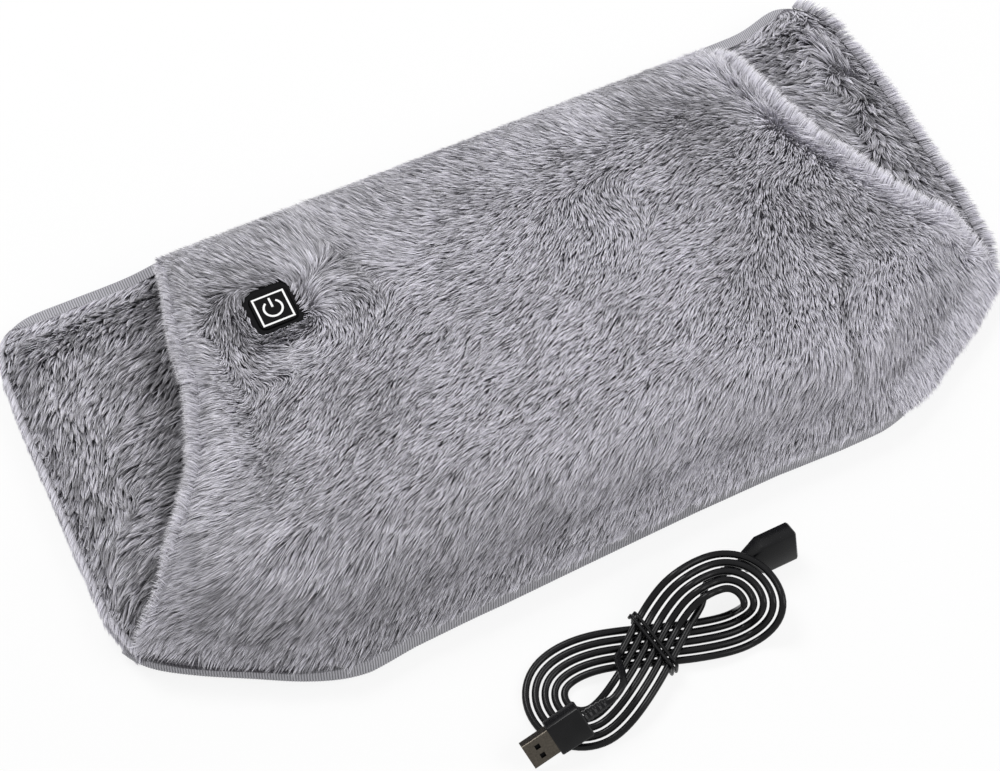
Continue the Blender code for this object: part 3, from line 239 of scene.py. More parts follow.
# %% Floor and world
def white_to_camera(tree):
    """1 for the rays that see the ground as a picture: camera, glossy and transmission rays."""
    path = node(tree, "ShaderNodeLightPath").outputs
    found = path["Is Camera Ray"]
    for kind in ("Is Glossy Ray", "Is Transmission Ray"):
        found = node(tree, "ShaderNodeMath", {0: found, 1: path[kind]}, operation="MAXIMUM").outputs[0]
    return found


FLOOR_DROP = 0.3 * MM
GROUND_WHITE = 0.86

deselect_all()
bpy.ops.mesh.primitive_plane_add(size=8, location=(0, 0, -FLOOR_DROP))
floor = bpy.context.object
floor.name = "floor"
paper, tree, shader = material("studio_paper", {"Base Color": linear("#EDEDED"), "Roughness": 0.9})
glow = node(tree, "ShaderNodeEmission", {"Color": (1, 1, 1, 1), "Strength": 1})
share = node(tree, "ShaderNodeMath", {0: white_to_camera(tree), 1: GROUND_WHITE}, operation="MULTIPLY")
lit = node(tree, "ShaderNodeMixShader", {0: share.outputs[0], 1: shader.outputs[0], 2: glow.outputs[0]})
clear = node(tree, "ShaderNodeBsdfTransparent")
side = node(tree, "ShaderNodeNewGeometry").outputs["Backfacing"]
seen = node(tree, "ShaderNodeMixShader", {0: side, 1: lit.outputs[0], 2: clear.outputs[0]})
tree.links.new(seen.outputs[0], tree.nodes["Material Output"].inputs["Surface"])
floor.data.materials.append(paper)

world = bpy.data.worlds.new("studio")
scene.world = world
world.use_nodes = True
tree = world.node_tree
tree.nodes.clear()
room = node(tree, "ShaderNodeBackground", {"Color": (1, 1, 1, 1), "Strength": 0.42})
white = node(tree, "ShaderNodeBackground", {"Color": (1, 1, 1, 1), "Strength": 1})
mixed = node(tree, "ShaderNodeMixShader", {0: white_to_camera(tree), 1: room.outputs[0], 2: white.outputs[0]})
node(tree, "ShaderNodeOutputWorld", {"Surface": mixed.outputs[0]})


# %% Lamps
def soft_lamp(name, place, size, power):
    """A large square lamp that faces the muff."""
    light = bpy.data.lights.new(name, "AREA")
    light.size = size
    light.energy = power
    lamp = bpy.data.objects.new(name, light)
    scene.collection.objects.link(lamp)
    lamp.location = place
    lamp.rotation_mode = "QUATERNION"
    lamp.rotation_quaternion = (-Vector(place)).to_track_quat("-Z", "Y")
    return lamp


soft_lamp("key_lamp", (-0.3, 0.9, 1.45), 0.7, 17)
soft_lamp("fill_lamp", (0.95, -0.75, 1.2), 1.0, 11.5)

# %% [markdown]
# ## The cord
# The lead is one soft PVC cord, 3 mm thick, wound five times in a figure of eight. A bevelled curve
# is the right tool for a cord: its line is the cord's own line, so its length can be measured. The
# route is the one that the CAD model gives, with more points in each turn.

# %% Route of the winding
CORD = 3 * MM
PITCH = 3.9 * MM
TURN_COUNT = 5
REACH = 49.5 * MM
SWELL = 13.5 * MM
LOW_LIFT = 1.8 * MM
# Degrees from a crossing at which the lift begins to fade, and at which it is gone
CROSSING_FADE = (20, 52)
# The turns pass over the socket at this angle of the winding, with their own fade in degrees
SOCKET_ANGLE = 18
SOCKET_RISE = Vector((-0.34, -0.48, 1)) * 14.6 * MM
SOCKET_FADE = (30, 66)
WAIST = Vector((-13, -147, 0)) * MM
HANK_TURN = Matrix.Translation(WAIST) @ Matrix.Rotation(math.radians(9.5), 4, "Z")


def faded(away, flat, end):
    """1 up to the flat's end, easing to 0."""
    share = max(0, min(1, (away - flat) / (end - flat)))
    return 1 - share * share * (3 - share * 2)


def winding_point(angle):
    """A point of the figure of eight, lifted where it crosses itself and where the socket passes under it."""
    place = Vector((REACH * math.cos(angle), SWELL * math.sin(angle * 2), 0))
    heading = Vector((-REACH * math.sin(angle), SWELL * 2 * math.cos(angle * 2), 0)).normalized()
    left = Vector((-heading.y, heading.x, 0))
    quarter = (angle / math.pi - 0.5) % 2
    from_over = abs((quarter + 1) % 2 - 1) * math.pi
    over = from_over < math.pi - from_over
    away = math.degrees(min(from_over, math.pi - from_over))
    lift = LOW_LIFT + (PITCH if over else 0)
    place += left * PITCH / math.tau * (math.tau * TURN_COUNT / 2 + math.pi / 2 - angle)
    place.z = CORD / 2 + lift * faded(away, *CROSSING_FADE)
    from_rise = abs((math.degrees(angle) - SOCKET_ANGLE + 180) % 360 - 180)
    return place + SOCKET_RISE * faded(from_rise, *SOCKET_FADE)


POINTS_PER_TURN = 120
first_angle = math.radians(82)
span = math.tau * TURN_COUNT + math.radians(95) - first_angle
steps = round(span / math.tau * POINTS_PER_TURN)
winding = [winding_point(first_angle + span * i / steps) for i in range(steps + 1)]
print("winding:", len(winding), "points")


# %% Tails to the plug and the socket
def smooth_run(route, step):
    """Points at an even step along a smooth curve through the route."""
    padded = [route[0] * 2 - route[1]] + list(route) + [route[-1] * 2 - route[-2]]
    points = [route[0]]
    for i in range(1, len(padded) - 2):
        p0, p1, p2, p3 = padded[i - 1:i + 3]
        count = max(1, round((p2 - p1).length / step))
        for piece in range(1, count + 1):
            t = piece / count
            bend = p1 * 2 + (p2 - p0) * t + (p0 * 2 - p1 * 5 + p2 * 4 - p3) * t * t
            points.append((bend + (p1 * 3 - p0 - p2 * 3 + p3) * t * t * t) / 2)
    return points


def tail(end_of_winding, before_it, route, frame_turn, mouth):
    """From the winding, along chosen points, into a connector's strain relief at mouth on its own axis."""
    leaving = (end_of_winding - before_it).normalized()
    start = end_of_winding + leaving * (CORD + 0.3 * MM)
    to_hank = HANK_TURN.inverted()
    end = to_hank @ (frame_turn @ Vector((mouth, 0, 0)))
    arrival = (to_hank.to_3x3() @ frame_turn.to_3x3() @ Vector((1, 0, 0))).normalized()
    chosen = [start, start + leaving * CORD] + [Vector(p) * MM for p in route]
    chosen += [end - arrival * CORD, end, end + arrival * 1.5 * MM]
    return [end_of_winding] + smooth_run(chosen, 1.3 * MM)


def connector_frame(place, yaw, pitch, roll):
    """Where a connector's own X axis, pointing towards its tip, lies on the table."""
    turn = Matrix.Rotation(math.radians(yaw), 4, "Z") @ Matrix.Rotation(math.radians(pitch), 4, "Y")
    turn = turn @ Matrix.Rotation(math.radians(roll), 4, "X")
    return Matrix.Translation(WAIST + Vector(place) * MM) @ turn


PLUG = connector_frame((-67.6, -22.8, 8), 186, 13, -52) @ Matrix.Translation((-26.9 * MM, 0, 0))
SOCKET = connector_frame((56, 14.9, 9.2), 1.6, 0, 72)
plug_tail = tail(winding[-1], winding[-2], [(-17.2, 1.5, 9.1), (-22.9, -9.8, 16)], PLUG, -11.6 * MM)
socket_tail = tail(winding[0], winding[1], [(25, 1.5, 8.6), (31.5, 7.4, 9.2)], SOCKET, -19.6 * MM)
route = socket_tail[::-1][:-1] + winding + plug_tail[1:]
route = [HANK_TURN @ p for p in route]


# %% The cord's curve
def cord_piece(name, points, width, finish, sides=4):
    """A round cord along points, as a curve."""
    line = bpy.data.curves.new(name, "CURVE")
    line.dimensions = "3D"
    line.bevel_depth = width / 2
    line.bevel_resolution = sides
    line.use_fill_caps = True
    run = line.splines.new("POLY")
    run.points.add(len(points) - 1)
    run.points.foreach_set("co", np.array([(*p, 1) for p in points]).ravel())
    run.use_smooth = True
    piece = bpy.data.objects.new(name, line)
    scene.collection.objects.link(piece)
    line.materials.append(finish)
    return piece


pvc, tree, shader = material("moulded_pvc_black", {"IOR": 1.5, "Specular IOR Level": 0.18})
paint(tree, shader, noise(tree, 0.12, 2), (0.35, "#08080A"), (0.7, "#101012"))
grain = noise(tree, 1.4, 3)
roughen(tree, shader, grain, 0.2, 0.34)
emboss(tree, shader, grain, 0.12, 0.1 * MM)

lead_cord = cord_piece("lead_cord", route, CORD, pvc)
dress(lead_cord, "extension_lead", "black_pvc", "cord_hank", "cord_tail_plug", "cord_tail_socket")

# %% [markdown]
# ## Reading the surfaces
# The soft parts grow on the CAD layers, so the layers' skins are read once as height maps on a 2 mm
# grid. Any place can then be looked up fast, for thousands of fibres in one numpy call.

# %% Skins of the CAD layers as height maps
STEP = 2 * MM
GRID_X = np.arange(-0.222, 0.2221, STEP)
GRID_Y = np.arange(-0.116, 0.1161, STEP)


def height_map(node_name, upper):
    """Height of a layer's upper or lower skin, filled in past its edge and smoothed."""
    shape = frame["nodes"][node_name].data
    tree = BVHTree.FromPolygons([v.co for v in shape.vertices], [p.vertices for p in shape.polygons])
    start, way = (0.1, Vector((0, 0, -1))) if upper else (-0.05, Vector((0, 0, 1)))
    found = np.full((len(GRID_Y), len(GRID_X)), np.nan)
    for row, y in enumerate(GRID_Y):
        for column, x in enumerate(GRID_X):
            hit = tree.ray_cast(Vector((x, y, start)), way)[0]
            if hit is not None:
                found[row, column] = hit.z
    return found


def filled(found):
    """Spread known heights outwards into the empty cells."""
    found = found.copy()
    while np.isnan(found).any():
        padded = np.pad(found, 1, constant_values=np.nan)
        near = np.stack([padded[:-2, 1:-1], padded[2:, 1:-1], padded[1:-1, :-2], padded[1:-1, 2:]])
        known = ~np.isnan(near)
        total = np.where(known, near, 0).sum(0)
        count = known.sum(0)
        empty = np.isnan(found) & (count > 0)
        found[empty] = total[empty] / count[empty]
    return found


def smoothed(found, times):
    for _ in range(times):
        padded = np.pad(found, 1, mode="edge")
        found = (padded[:-2, 1:-1] + padded[2:, 1:-1] + padded[1:-1, :-2] + padded[1:-1, 2:] + found * 4) / 8
    return found


def read_map(values, x, y):
    """Read a map between its cells."""
    column = np.clip((x - GRID_X[0]) / STEP, 0, len(GRID_X) - 1.001)
    row = np.clip((y - GRID_Y[0]) / STEP, 0, len(GRID_Y) - 1.001)
    c, r = column.astype(int), row.astype(int)
    u, v = column - c, row - r
    low = values[r, c] * (1 - u) + values[r, c + 1] * u
    high = values[r + 1, c] * (1 - u) + values[r + 1, c + 1] * u
    return low * (1 - v) + high * v


maps = {}
for name, layer, upper in (
    ("front_tip", "front_outer_plush", True), ("front_cloth", "front_outer_plush", False),
    ("roof_tip", "front_inner_plush", False), ("roof_cloth", "front_inner_plush", True),
    ("floor_tip", "back_inner_plush", True), ("floor_cloth", "back_inner_plush", False),
    ("base_tip", "back_outer_plush", False), ("base_cloth", "back_outer_plush", True),
):
    maps[name] = smoothed(filled(height_map(layer, upper)), 3)
print("height maps:", {n: round(float(m.max()) / MM, 1) for n, m in maps.items()})


# %% Edges of the panels
def edge_table(node_name):
    """A panel's half-width at each height across it, from its own corners."""
    points = np.array([v.co for v in frame["nodes"][node_name].data.vertices])
    rows = {}
    for x, y in points[:, :2].round(5):
        low, high = rows.get(y, (0, 0))
        rows[y] = (min(low, x), max(high, x))
    even = sorted((y, high) for y, (low, high) in rows.items() if high > 0.12 and abs(low + high) < 0.0002)
    return np.array(even).T


FRONT_EDGE = edge_table("front_outer_plush")
BACK_EDGE = edge_table("back_outer_plush")
EDGE_Y = FRONT_EDGE[0][-1]
print("panel edges:", FRONT_EDGE.shape, BACK_EDGE.shape, round(EDGE_Y / MM, 1))


# %% Edges that are sewn
LOWER_SEAM = np.array([
    (-200.6, -61.5), (-178.5, -79.5), (-160.6, -90), (-147, -98), (-128.1, -106),
    (128.1, -106), (147, -98), (160.6, -90), (178.5, -79.5), (200.6, -61.5),
]) * MM


def runs_of(line, x, y):
    """Each straight run of a line, and how far the places are from it."""
    for a, b in zip(line, line[1:]):
        along = b - a
        share = np.clip(((x - a[0]) * along[0] + (y - a[1]) * along[1]) / (along @ along), 0, 1)
        yield along, np.hypot(a[0] + along[0] * share - x, a[1] + along[1] * share - y)


def seam_field(x, y):
    """How far the nearest sewn edge is, and the way out across it."""
    near = EDGE_Y - y
    out = np.stack([np.zeros_like(x), np.ones_like(x)], 1)
    for along, gap in runs_of(LOWER_SEAM, x, y):
        closer = gap < near
        near = np.where(closer, gap, near)
        out[closer] = np.array([along[1], -along[0]]) / np.linalg.norm(along)
    return near, out


# %% Slopes that fill the sewn edges
def raised(layers, start, slope, width):
    """Lift a panel's maps beside its sewn edges, where the CAD layers have a flat ledge."""
    x, y = np.meshgrid(GRID_X, GRID_Y)
    to_seam = seam_field(x.ravel(), y.ravel())[0].reshape(x.shape)
    wanted = start + slope * np.clip(to_seam, 0, width)
    lift = np.maximum(wanted - maps[layers[0]], 0) * (to_seam < width + 8 * MM)
    for layer in layers:
        maps[layer] = maps[layer] + lift
    print(layers[0], "raised by up to", round(float(lift.max()) / MM, 1), "mm")


raised(("front_tip", "front_cloth"), 12.4 * MM, 1.0, 13 * MM)
raised(("floor_tip", "floor_cloth"), 7 * MM, 0.35, 15 * MM)


# %% How far the soft outline lies from the CAD model's
# (x, how far the lower sewn edge is drawn in), in mm
DRAWN_IN = np.array([
    (-120, 0), (-100, 1.8), (-60, 2.3), (-30, 3.7), (0, 5), (30, 6.2), (70, 7), (100, 6.2), (120, 6.5),
    (140, 8), (165, 8), (190, 6.5), (205, 5),
]).T * MM
# (x, y, reach, then the shift along x, y and z), in mm: the lower left and the upper right corner
CORNER_SHIFTS = ((-203, -62, 34, -3, -4, 0), (198, 104, 32, -8, 6, 8))


def eased_step(values, low, high):
    share = np.clip((values - low) / (high - low), 0, 1)
    return share * share * (3 - share * 2)


def outline_shift():
    """Maps of the shift along x, y and z."""
    x, y = np.meshgrid(GRID_X, GRID_Y)
    to_seam = seam_field(x.ravel(), y.ravel())[0].reshape(x.shape)
    low = (1 - eased_step(to_seam, 8 * MM, 60 * MM)) * (1 - eased_step(y, -0.04, 0))
    shift = [np.zeros_like(x), np.interp(x, *DRAWN_IN) * low, np.zeros_like(x)]
    for corner_x, corner_y, reach, *pull in CORNER_SHIFTS:
        share = np.exp(-((x / MM - corner_x) ** 2 + (y / MM - corner_y) ** 2) / reach ** 2)
        for axis in range(3):
            shift[axis] += share * pull[axis] * MM
    return shift


SHIFT = outline_shift()


def drawn(points):
    """Points of any soft part, shifted with the outline."""
    moved = points.copy()
    for axis in range(3):
        moved[..., axis] += read_map(SHIFT[axis], points[..., 0], points[..., 1])
    return moved


# %% Smooth noise
def waves(x, y, length, seed):
    """Soft noise from -1 to 1, made of a few waves in random directions."""
    chance = np.random.default_rng(seed)
    total = np.zeros_like(x)
    for _ in range(9):
        way = chance.uniform(0, math.tau)
        rate = math.tau / length * chance.uniform(0.6, 1.5)
        total += np.sin((x * math.cos(way) + y * math.sin(way)) * rate + chance.uniform(0, math.tau))
    return np.clip(total / 4.2, -1, 1)


def surface_normals(values, x, y, side):
    slope_x = (read_map(values, x + STEP, y) - read_map(values, x - STEP, y)) / (2 * STEP)
    slope_y = (read_map(values, x, y + STEP) - read_map(values, x, y - STEP)) / (2 * STEP)
    normal = np.stack([-slope_x, -slope_y, np.ones_like(x)], 1) * side
    return normal / np.linalg.norm(normal, axis=1)[:, None]


# %% [markdown]
# ## Backing cloths and wadding
# Under the pile each panel is a knitted backing, stitched at the edge and swollen in between by its
# wadding. The CAD layers already have that crowned form, so each cloth is a copy of its layer with the
# pile's thickness taken off, made finer by subdivision. A simulation would add nothing under the pile.


# %% Where the front panel's openings really lie
# (y, how far the left and the right opening edge sit to the right of the CAD model's), in mm
OPENINGS = np.array([
    (-61.5, -3, 0), (-54, 0, 3), (-48, 4, 5), (-41, 6, 5), (-31, 8, 5), (-21, 10, 5), (-10, 11, 6),
    (15, 11, 5), (28, 10, 3), (44, 7.5, 3), (58, 7, 3), (82, 9, 5), (106, 9, 8),
]).T * MM


def settled(points):
    """Points of the front panel, shifted at its two openings. The switch and the middle stay."""
    x, y = points[..., 0], points[..., 1]
    moved = points.copy()
    moved[..., 0] += np.interp(y, OPENINGS[0], OPENINGS[1]) * eased_step(-x, 0.114, 0.15)
    moved[..., 0] += np.interp(y, OPENINGS[0], OPENINGS[2]) * eased_step(x, 0.08, 0.14)
    return drawn(moved)


# %% Backing cloths
def moved_points(piece, change):
    """Run a piece's points through a function of one array."""
    points = np.empty(len(piece.data.vertices) * 3)
    piece.data.vertices.foreach_get("co", points)
    piece.data.vertices.foreach_set("co", change(points.reshape(-1, 3)).ravel())


def cloth_layer(node_name, name, finish, slot, keep, still):
    """A smooth copy of a CAD layer, thinned on its pile side to a share of the thickness."""
    piece = copy_of(node_name, name, finish)

    def thinner(points):
        base = read_map(maps[still], points[:, 0], points[:, 1])
        points[:, 2] = base + (points[:, 2] - base) * keep
        return points

    if still:
        moved_points(piece, thinner)
    edit_all(piece, (bpy.ops.mesh.tris_convert_to_quads, {"face_threshold": 0.7, "shape_threshold": 0.9}))
    finer = piece.modifiers.new("finer", "SUBSURF")
    finer.levels = finer.render_levels = 2
    apply_all(piece)
    moved_points(piece, settled if node_name.startswith("front") else drawn)
    bpy.ops.object.shade_smooth()
    dress(piece, "muff", slot, node_name)
    print(name, len(piece.data.polygons), "faces")


knit, tree, shader = material("knitted_polyester_backing", {"Roughness": 0.9})
# Knit ribs about 1.2 mm apart run up the cloth, a little wavy.
ribs = node(tree, "ShaderNodeTexWave", {
    "Vector": object_point(tree), "Scale": 0.26, "Distortion": 1.5, "Detail": 2,
}).outputs["Fac"]
paint(tree, shader, ribs, (0.2, "#5C5A60"), (0.8, "#7E7C83"))
emboss(tree, shader, ribs, 0.5, 0.2 * MM)

fill, tree, shader = material("polyester_wadding", {"Roughness": 0.95})
tuft = noise(tree, 0.5, 6, Roughness=0.7)
paint(tree, shader, tuft, (0.3, "#DADAD6"), (0.7, "#F4F4F1"))
emboss(tree, shader, tuft, 0.8, 0.8 * MM)

for layer in (
    ("front_outer_plush", "front_cloth", knit, "grey_plush", 0.2, "front_cloth"),
    ("front_inner_plush", "tunnel_roof_cloth", knit, "grey_lining", 0.2, "roof_cloth"),
    ("back_inner_plush", "tunnel_floor_cloth", knit, "grey_lining", 0.2, "floor_cloth"),
    ("back_outer_plush", "back_cloth", knit, "grey_plush", 0.3, "base_cloth"),
    ("front_wadding", "front_fill", fill, "wadding", 1, None),
    ("back_wadding", "back_fill", fill, "wadding", 1, None),
):
    cloth_layer(*layer)

# %% [markdown]
# ## The pile
# Long plush is thousands of soft fibres that lie over in one direction, in little wet-looking locks.
# Hair curves can't be exported, so each fibre is a thin blade of a few faces. Numpy grows them all at
# once: a root on the cloth, a direction from a smooth field, a lean, and a pull towards the middle of
# its lock. The CAD layers give the surface: the tips end at about the skin of the solid.

# %% Blades
BLADE_STEPS = np.array([0, 0.36, 0.7, 1.0])
BLADE_WIDTHS = np.array([1.6, 1.3, 0.8])
BLADE_POINTS = 7
BLADE_LOOPS = 11
BLADE_TRIANGLES = 5
LOCK_KEY = np.array([73856093, 19349663, 83492791])
TONES = 64
REST = 0.3 * MM
ROUNDNESS = 0.35
PIECE_LIMIT = 195000


def unit(vectors):
    return vectors / np.maximum(np.linalg.norm(vectors, axis=1), 1e-9)[:, None]


def fibre_lines(roots, normals, lean, length, rise_first, rise_last):
    """Centre lines: each fibre starts steep and lies over towards its tip."""
    flat = unit(lean - normals * (lean * normals).sum(1)[:, None])
    points = [roots]
    for low, high in zip(BLADE_STEPS, BLADE_STEPS[1:]):
        middle = (low + high) / 2
        rise = rise_first + (rise_last - rise_first) * middle ** 0.7
        way = flat * np.cos(rise)[:, None] + normals * np.sin(rise)[:, None]
        points.append(points[-1] + way * (length * (high - low))[:, None])
    return np.stack(points, 1)


def grow(name, fibres, finish, lock_spacing=3.6 * MM, pull=0.55, width=0.42 * MM, seed=1, shape_by=drawn):
    """Make one piece of pile from fibres: a dict of roots, normals, lean, length, rises, and the brightness
    that holds random variation and painted light and shade.
    """
    chance = np.random.default_rng(seed)
    roots, normals = fibres["roots"], unit(fibres["normals"])
    count = len(roots)
    lines = fibre_lines(roots, normals, *[fibres[k] for k in ("lean", "length", "rise_first", "rise_last")])
    strayed = roots + waves(roots[:, 1], roots[:, 0], 9 * MM, seed)[:, None] * lock_spacing
    cells = np.round(strayed / lock_spacing)
    keys = (cells * LOCK_KEY).sum(1).astype(np.int64)
    _, lock = np.unique(keys, return_inverse=True)
    locks = lock.max() + 1
    size = np.bincount(lock, minlength=locks)[:, None, None]
    middle = np.zeros((locks, lines.shape[1], 3))
    np.add.at(middle, lock, lines)
    middle /= size
    middle[:, :, :] += chance.normal(0, 0.35 * MM, (locks, 1, 3)) * BLADE_STEPS[None, :, None]
    strength = pull * chance.uniform(0.5, 1.25, locks)[lock][:, None, None]
    strength = strength * BLADE_STEPS[None, :, None] ** 1.3
    lines += (middle[lock] - lines) * np.clip(strength, 0, 0.92)
    lines[:, :, 2] = np.maximum(lines[:, :, 2], REST)
    lines = shape_by(lines)
    ways = unit((lines[:, -1] - lines[:, 0]))
    side = unit(np.cross(ways, normals))
    twist = chance.normal(0, 0.55, count)[:, None]
    side = unit(side * np.cos(twist) + np.cross(ways, side) * np.sin(twist))
    face = np.cross(side, ways)
    side *= np.where((face * normals).sum(1) < 0, -1, 1)[:, None]
    shading = unit(normals + np.cross(side, ways) * ROUNDNESS)
    half = (width / 2 * chance.uniform(0.7, 1.3, count))[:, None, None] * BLADE_WIDTHS[None, :, None]
    left = lines[:, :3] - side[:, None, :] * half
    right = lines[:, :3] + side[:, None, :] * half
    points = np.concatenate([left, right, lines[:, 3:]], 1)
    corners = np.array([0, 3, 4, 1, 1, 4, 5, 2, 2, 5, 6])
    vertex = (np.arange(count)[:, None] * BLADE_POINTS + corners[None, :]).ravel()
    starts = (np.arange(count)[:, None] * BLADE_LOOPS + np.array([0, 4, 8])[None, :]).ravel()
    lock_tone = chance.normal(0, 0.12, locks)[lock]
    # Each fibre's brightness joins its random variation to the painted light and shade set where the fibres
    # were made.
    tone_and_painted_light = np.clip(fibres["tone_and_painted_light"] + lock_tone + chance.normal(0, 0.2, count), 0, 0.999)
    column = np.floor(tone_and_painted_light * TONES) / TONES
    u = column[:, None] + np.array([0, 1, 1, 0, 0, 1, 1, 0, 0, 1, 0.5])[None, :] / TONES
    v = np.broadcast_to(np.array([0, 0, 0.36, 0.36, 0.36, 0.36, 0.7, 0.7, 0.7, 0.7, 1.0]), u.shape)
    shape = bpy.data.meshes.new(name)
    shape.vertices.add(count * BLADE_POINTS)
    shape.vertices.foreach_set("co", points.astype(np.float32).ravel())
    shape.loops.add(len(vertex))
    shape.loops.foreach_set("vertex_index", vertex.astype(np.int32))
    shape.polygons.add(len(starts))
    shape.polygons.foreach_set("loop_start", starts.astype(np.int32))
    layer = shape.uv_layers.new(name="OFBake")
    layer.uv.foreach_set("vector", np.stack([u, v], 2).astype(np.float32).ravel())
    shape.update(calc_edges=True)
    shape.shade_smooth()
    shape.normals_split_custom_set_from_vertices(np.repeat(shading, BLADE_POINTS, 0).tolist())
    print(name, count, "fibres", count * BLADE_TRIANGLES, "triangles", locks, "locks")
    return mesh_object(name, shape, finish)


def grow_in_bands(name, fibres, finish, **settings):
    """Split the pile into pieces that stay under 200,000 triangles each."""
    count = len(fibres["roots"])
    bands = math.ceil(count * BLADE_TRIANGLES / PIECE_LIMIT)
    order = np.argsort(fibres["roots"][:, 0], kind="stable")
    pieces = []
    for index, part in enumerate(np.array_split(order, bands)):
        band = {k: v[part] for k, v in fibres.items()}
        pieces.append(grow(f"{name}_{index + 1}", band, finish, seed=100 + index, **settings))
    return pieces


# %% Pile material
def plush(name, root, low, middle, tip):
    """Polyester plush, paler at its tips. U is the fibre's brightness, random variation with painted light
    and shade, and V runs from root to tip.
    """
    made, tree, shader = material(name, {
        "Roughness": 0.5, "Specular IOR Level": 0.35, "Sheen Weight": 0.25, "Sheen Roughness": 0.5,
    })
    spot = node(tree, "ShaderNodeUVMap", uv_map="OFBake").outputs["UV"]
    parts = node(tree, "ShaderNodeSeparateXYZ", {"Vector": spot}).outputs
    along = ramp(tree, parts["Y"], (0.0, root), (0.3, low), (0.65, middle), (1.0, tip))
    tone_and_painted_light = ramp(tree, parts["X"], (0.0, "#808080"), (0.5, "#E8E8E8"), (1.0, "#FFFFFF"))
    paint_shaded(tree, shader, along, tone_and_painted_light)
    return made


plush_front = plush("long_pile_polyester_grey", "#A4A2AA", "#D3D1DA", "#EEECF6", "#FCFAFF")


# %% [markdown]
# ## Which way the pile is brushed
# The direction of a real pile wanders: it parts at a crease, circles the switch and folds over the
# rims. Each mark below is a place on the muff in millimetres and the angle at which the fibres there
# lie in the picture, from root to tip. Every fibre takes a blend in which near marks count most.

# %% Brushing marks
FRONT_MARKS = (
    (-126, 60, 160), (-107, 79, 150), (-89, 79, 145), (-70, 76, 130), (-51, 66, 150), (-35, 50, 170),
    (-20, 32, 205), (-133, 32, 160), (-133, 10, 190), (-109, 4, 235), (-90, -2, 235), (-57, 1, 225),
    (-48, -30, 220), (26, 79, 170), (44, 77, 160), (68, 77, 150), (98, 78, 150), (121, 73, 155),
    (42, 54, 200), (49, 28, 300), (28, 24, 240), (80, 42, 215), (107, 47, 210), (133, 55, 175),
    (123, 22, 220), (137, 21, 255), (126, -9, 290), (78, -9, 210), (150, -9, 300), (167, -23, 320),
    (171, -45, 330), (17, -35, 225), (55, -52, 225), (74, -51, 245), (104, -49, 285), (122, -41, 310),
    (130, -61, 260), (122, -84, 295), (95, -98, 245), (74, -103, 235), (156, -74, 300), (134, -96, 250),
    (-153, -16, 200), (-171, -42, 185), (-169, -58, 180), (-189, -65, 215), (-140, -38, 210),
    (-132, -71, 230), (-154, -82, 212), (-176, -90, 285), (-165, -100, 235), (-149, -110, 230),
    (-120, -91, 230), (-107, -111, 225), (-59, -100, 225), (-14, -97, 225), (35, -90, 230),
    (-40, -60, 222), (-151, 9, 175), (-156, -15, 180), (-80, 41, 50), (-73, 42, 5), (-71, 33, 320),
    (-73, 22, 280), (-81, 14, 235), (-92, 13, 195), (-111, 48, 285), (-117, 40, 290), (-117, 27, 315),
    (-112, 18, 350), (-105, 15, 10), (-99, 60, 150), (-87, 57, 150), (-81, 52, 130),
)
FLAP_MARKS = (
    (-178, 87, 265), (-194, 68, 285), (-195, 41, 295), (-199, 7, 300), (-202, -23, 305), (-202, -47, 310),
    (-165, 75, 250), (-171, 46, 250), (-187, 27, 290), (-186, 0, 300), (-147, 78, 240), (-151, 58, 225),
    (-160, 30, 215), (-166, 6, 205), (-177, -14, 200), (-185, -30, 205), (-195, -45, 215),
    (-191, 88, 250), (-205, 62, 230), (-152, 97, 240), (-136, 96, 235), (162, 99, 190), (169, 83, 200),
    (183, 89, 215), (186, 75, 200), (165, 66, 170), (179, 53, 160), (178, 35, 150), (194, 71, 130),
    (193, 34, 310), (190, 11, 310), (194, -9, 315), (198, -28, 315), (174, 18, 170), (182, -3, 160),
    (177, 60, 170), (192, 59, 300), (200, 37, 305), (202, 5, 310),
)


def pad_way(degrees, rise):
    """The lean of a fibre that rises this steeply and shows at this angle in the picture."""
    across = np.array([math.cos(AZIMUTH), math.sin(AZIMUTH)])
    upward = np.array([-math.sin(AZIMUTH), math.cos(AZIMUTH)]) * math.sin(ELEVATION)
    to_pad = np.linalg.inv(np.array([across, upward]))
    seen = to_pad @ np.array([math.cos(math.radians(degrees)), math.sin(math.radians(degrees))])
    lifted = to_pad @ np.array([0, math.cos(ELEVATION) * math.sin(rise)])
    both, square = seen @ lifted, seen @ seen
    reach = (both + math.sqrt(both ** 2 - square * (lifted @ lifted - math.cos(rise) ** 2))) / square
    return (seen * reach - lifted) / math.cos(rise)


# A mark's weight is 1 over (its squared distance in mm, plus the blur) to this power.
MARK_BLUR = 20
MARK_POWER = 1.8


def brushed(marks, x, y, rise):
    """The blend of the marks, in which the nearest count most, as a unit vector on the muff."""
    total = np.zeros((len(x), 2))
    for px, py, degrees in marks:
        gap = (x / MM - px) ** 2 + (y / MM - py) ** 2 + MARK_BLUR
        total += np.outer(gap ** -MARK_POWER, pad_way(degrees, rise))
    return total / np.linalg.norm(total, axis=1)[:, None]


def wander(ways, angle):
    turned = np.stack([
        ways[:, 0] * np.cos(angle) - ways[:, 1] * np.sin(angle),
        ways[:, 0] * np.sin(angle) + ways[:, 1] * np.cos(angle),
    ], 1)
    return np.concatenate([turned, np.zeros((len(ways), 1))], 1)


SPARE = 1.0
BUTTON = np.array([-97.0, 39.5]) * MM


def scatter(low, high, spacing, seed):
    """Points on a jittered grid."""
    chance = np.random.default_rng(seed)
    x, y = np.meshgrid(np.arange(low[0], high[0], spacing), np.arange(low[1], high[1], spacing))
    x = x.ravel() + chance.uniform(-0.5, 0.5, x.size) * spacing
    y = y.ravel() + chance.uniform(-0.5, 0.5, y.size) * spacing
    return x, y


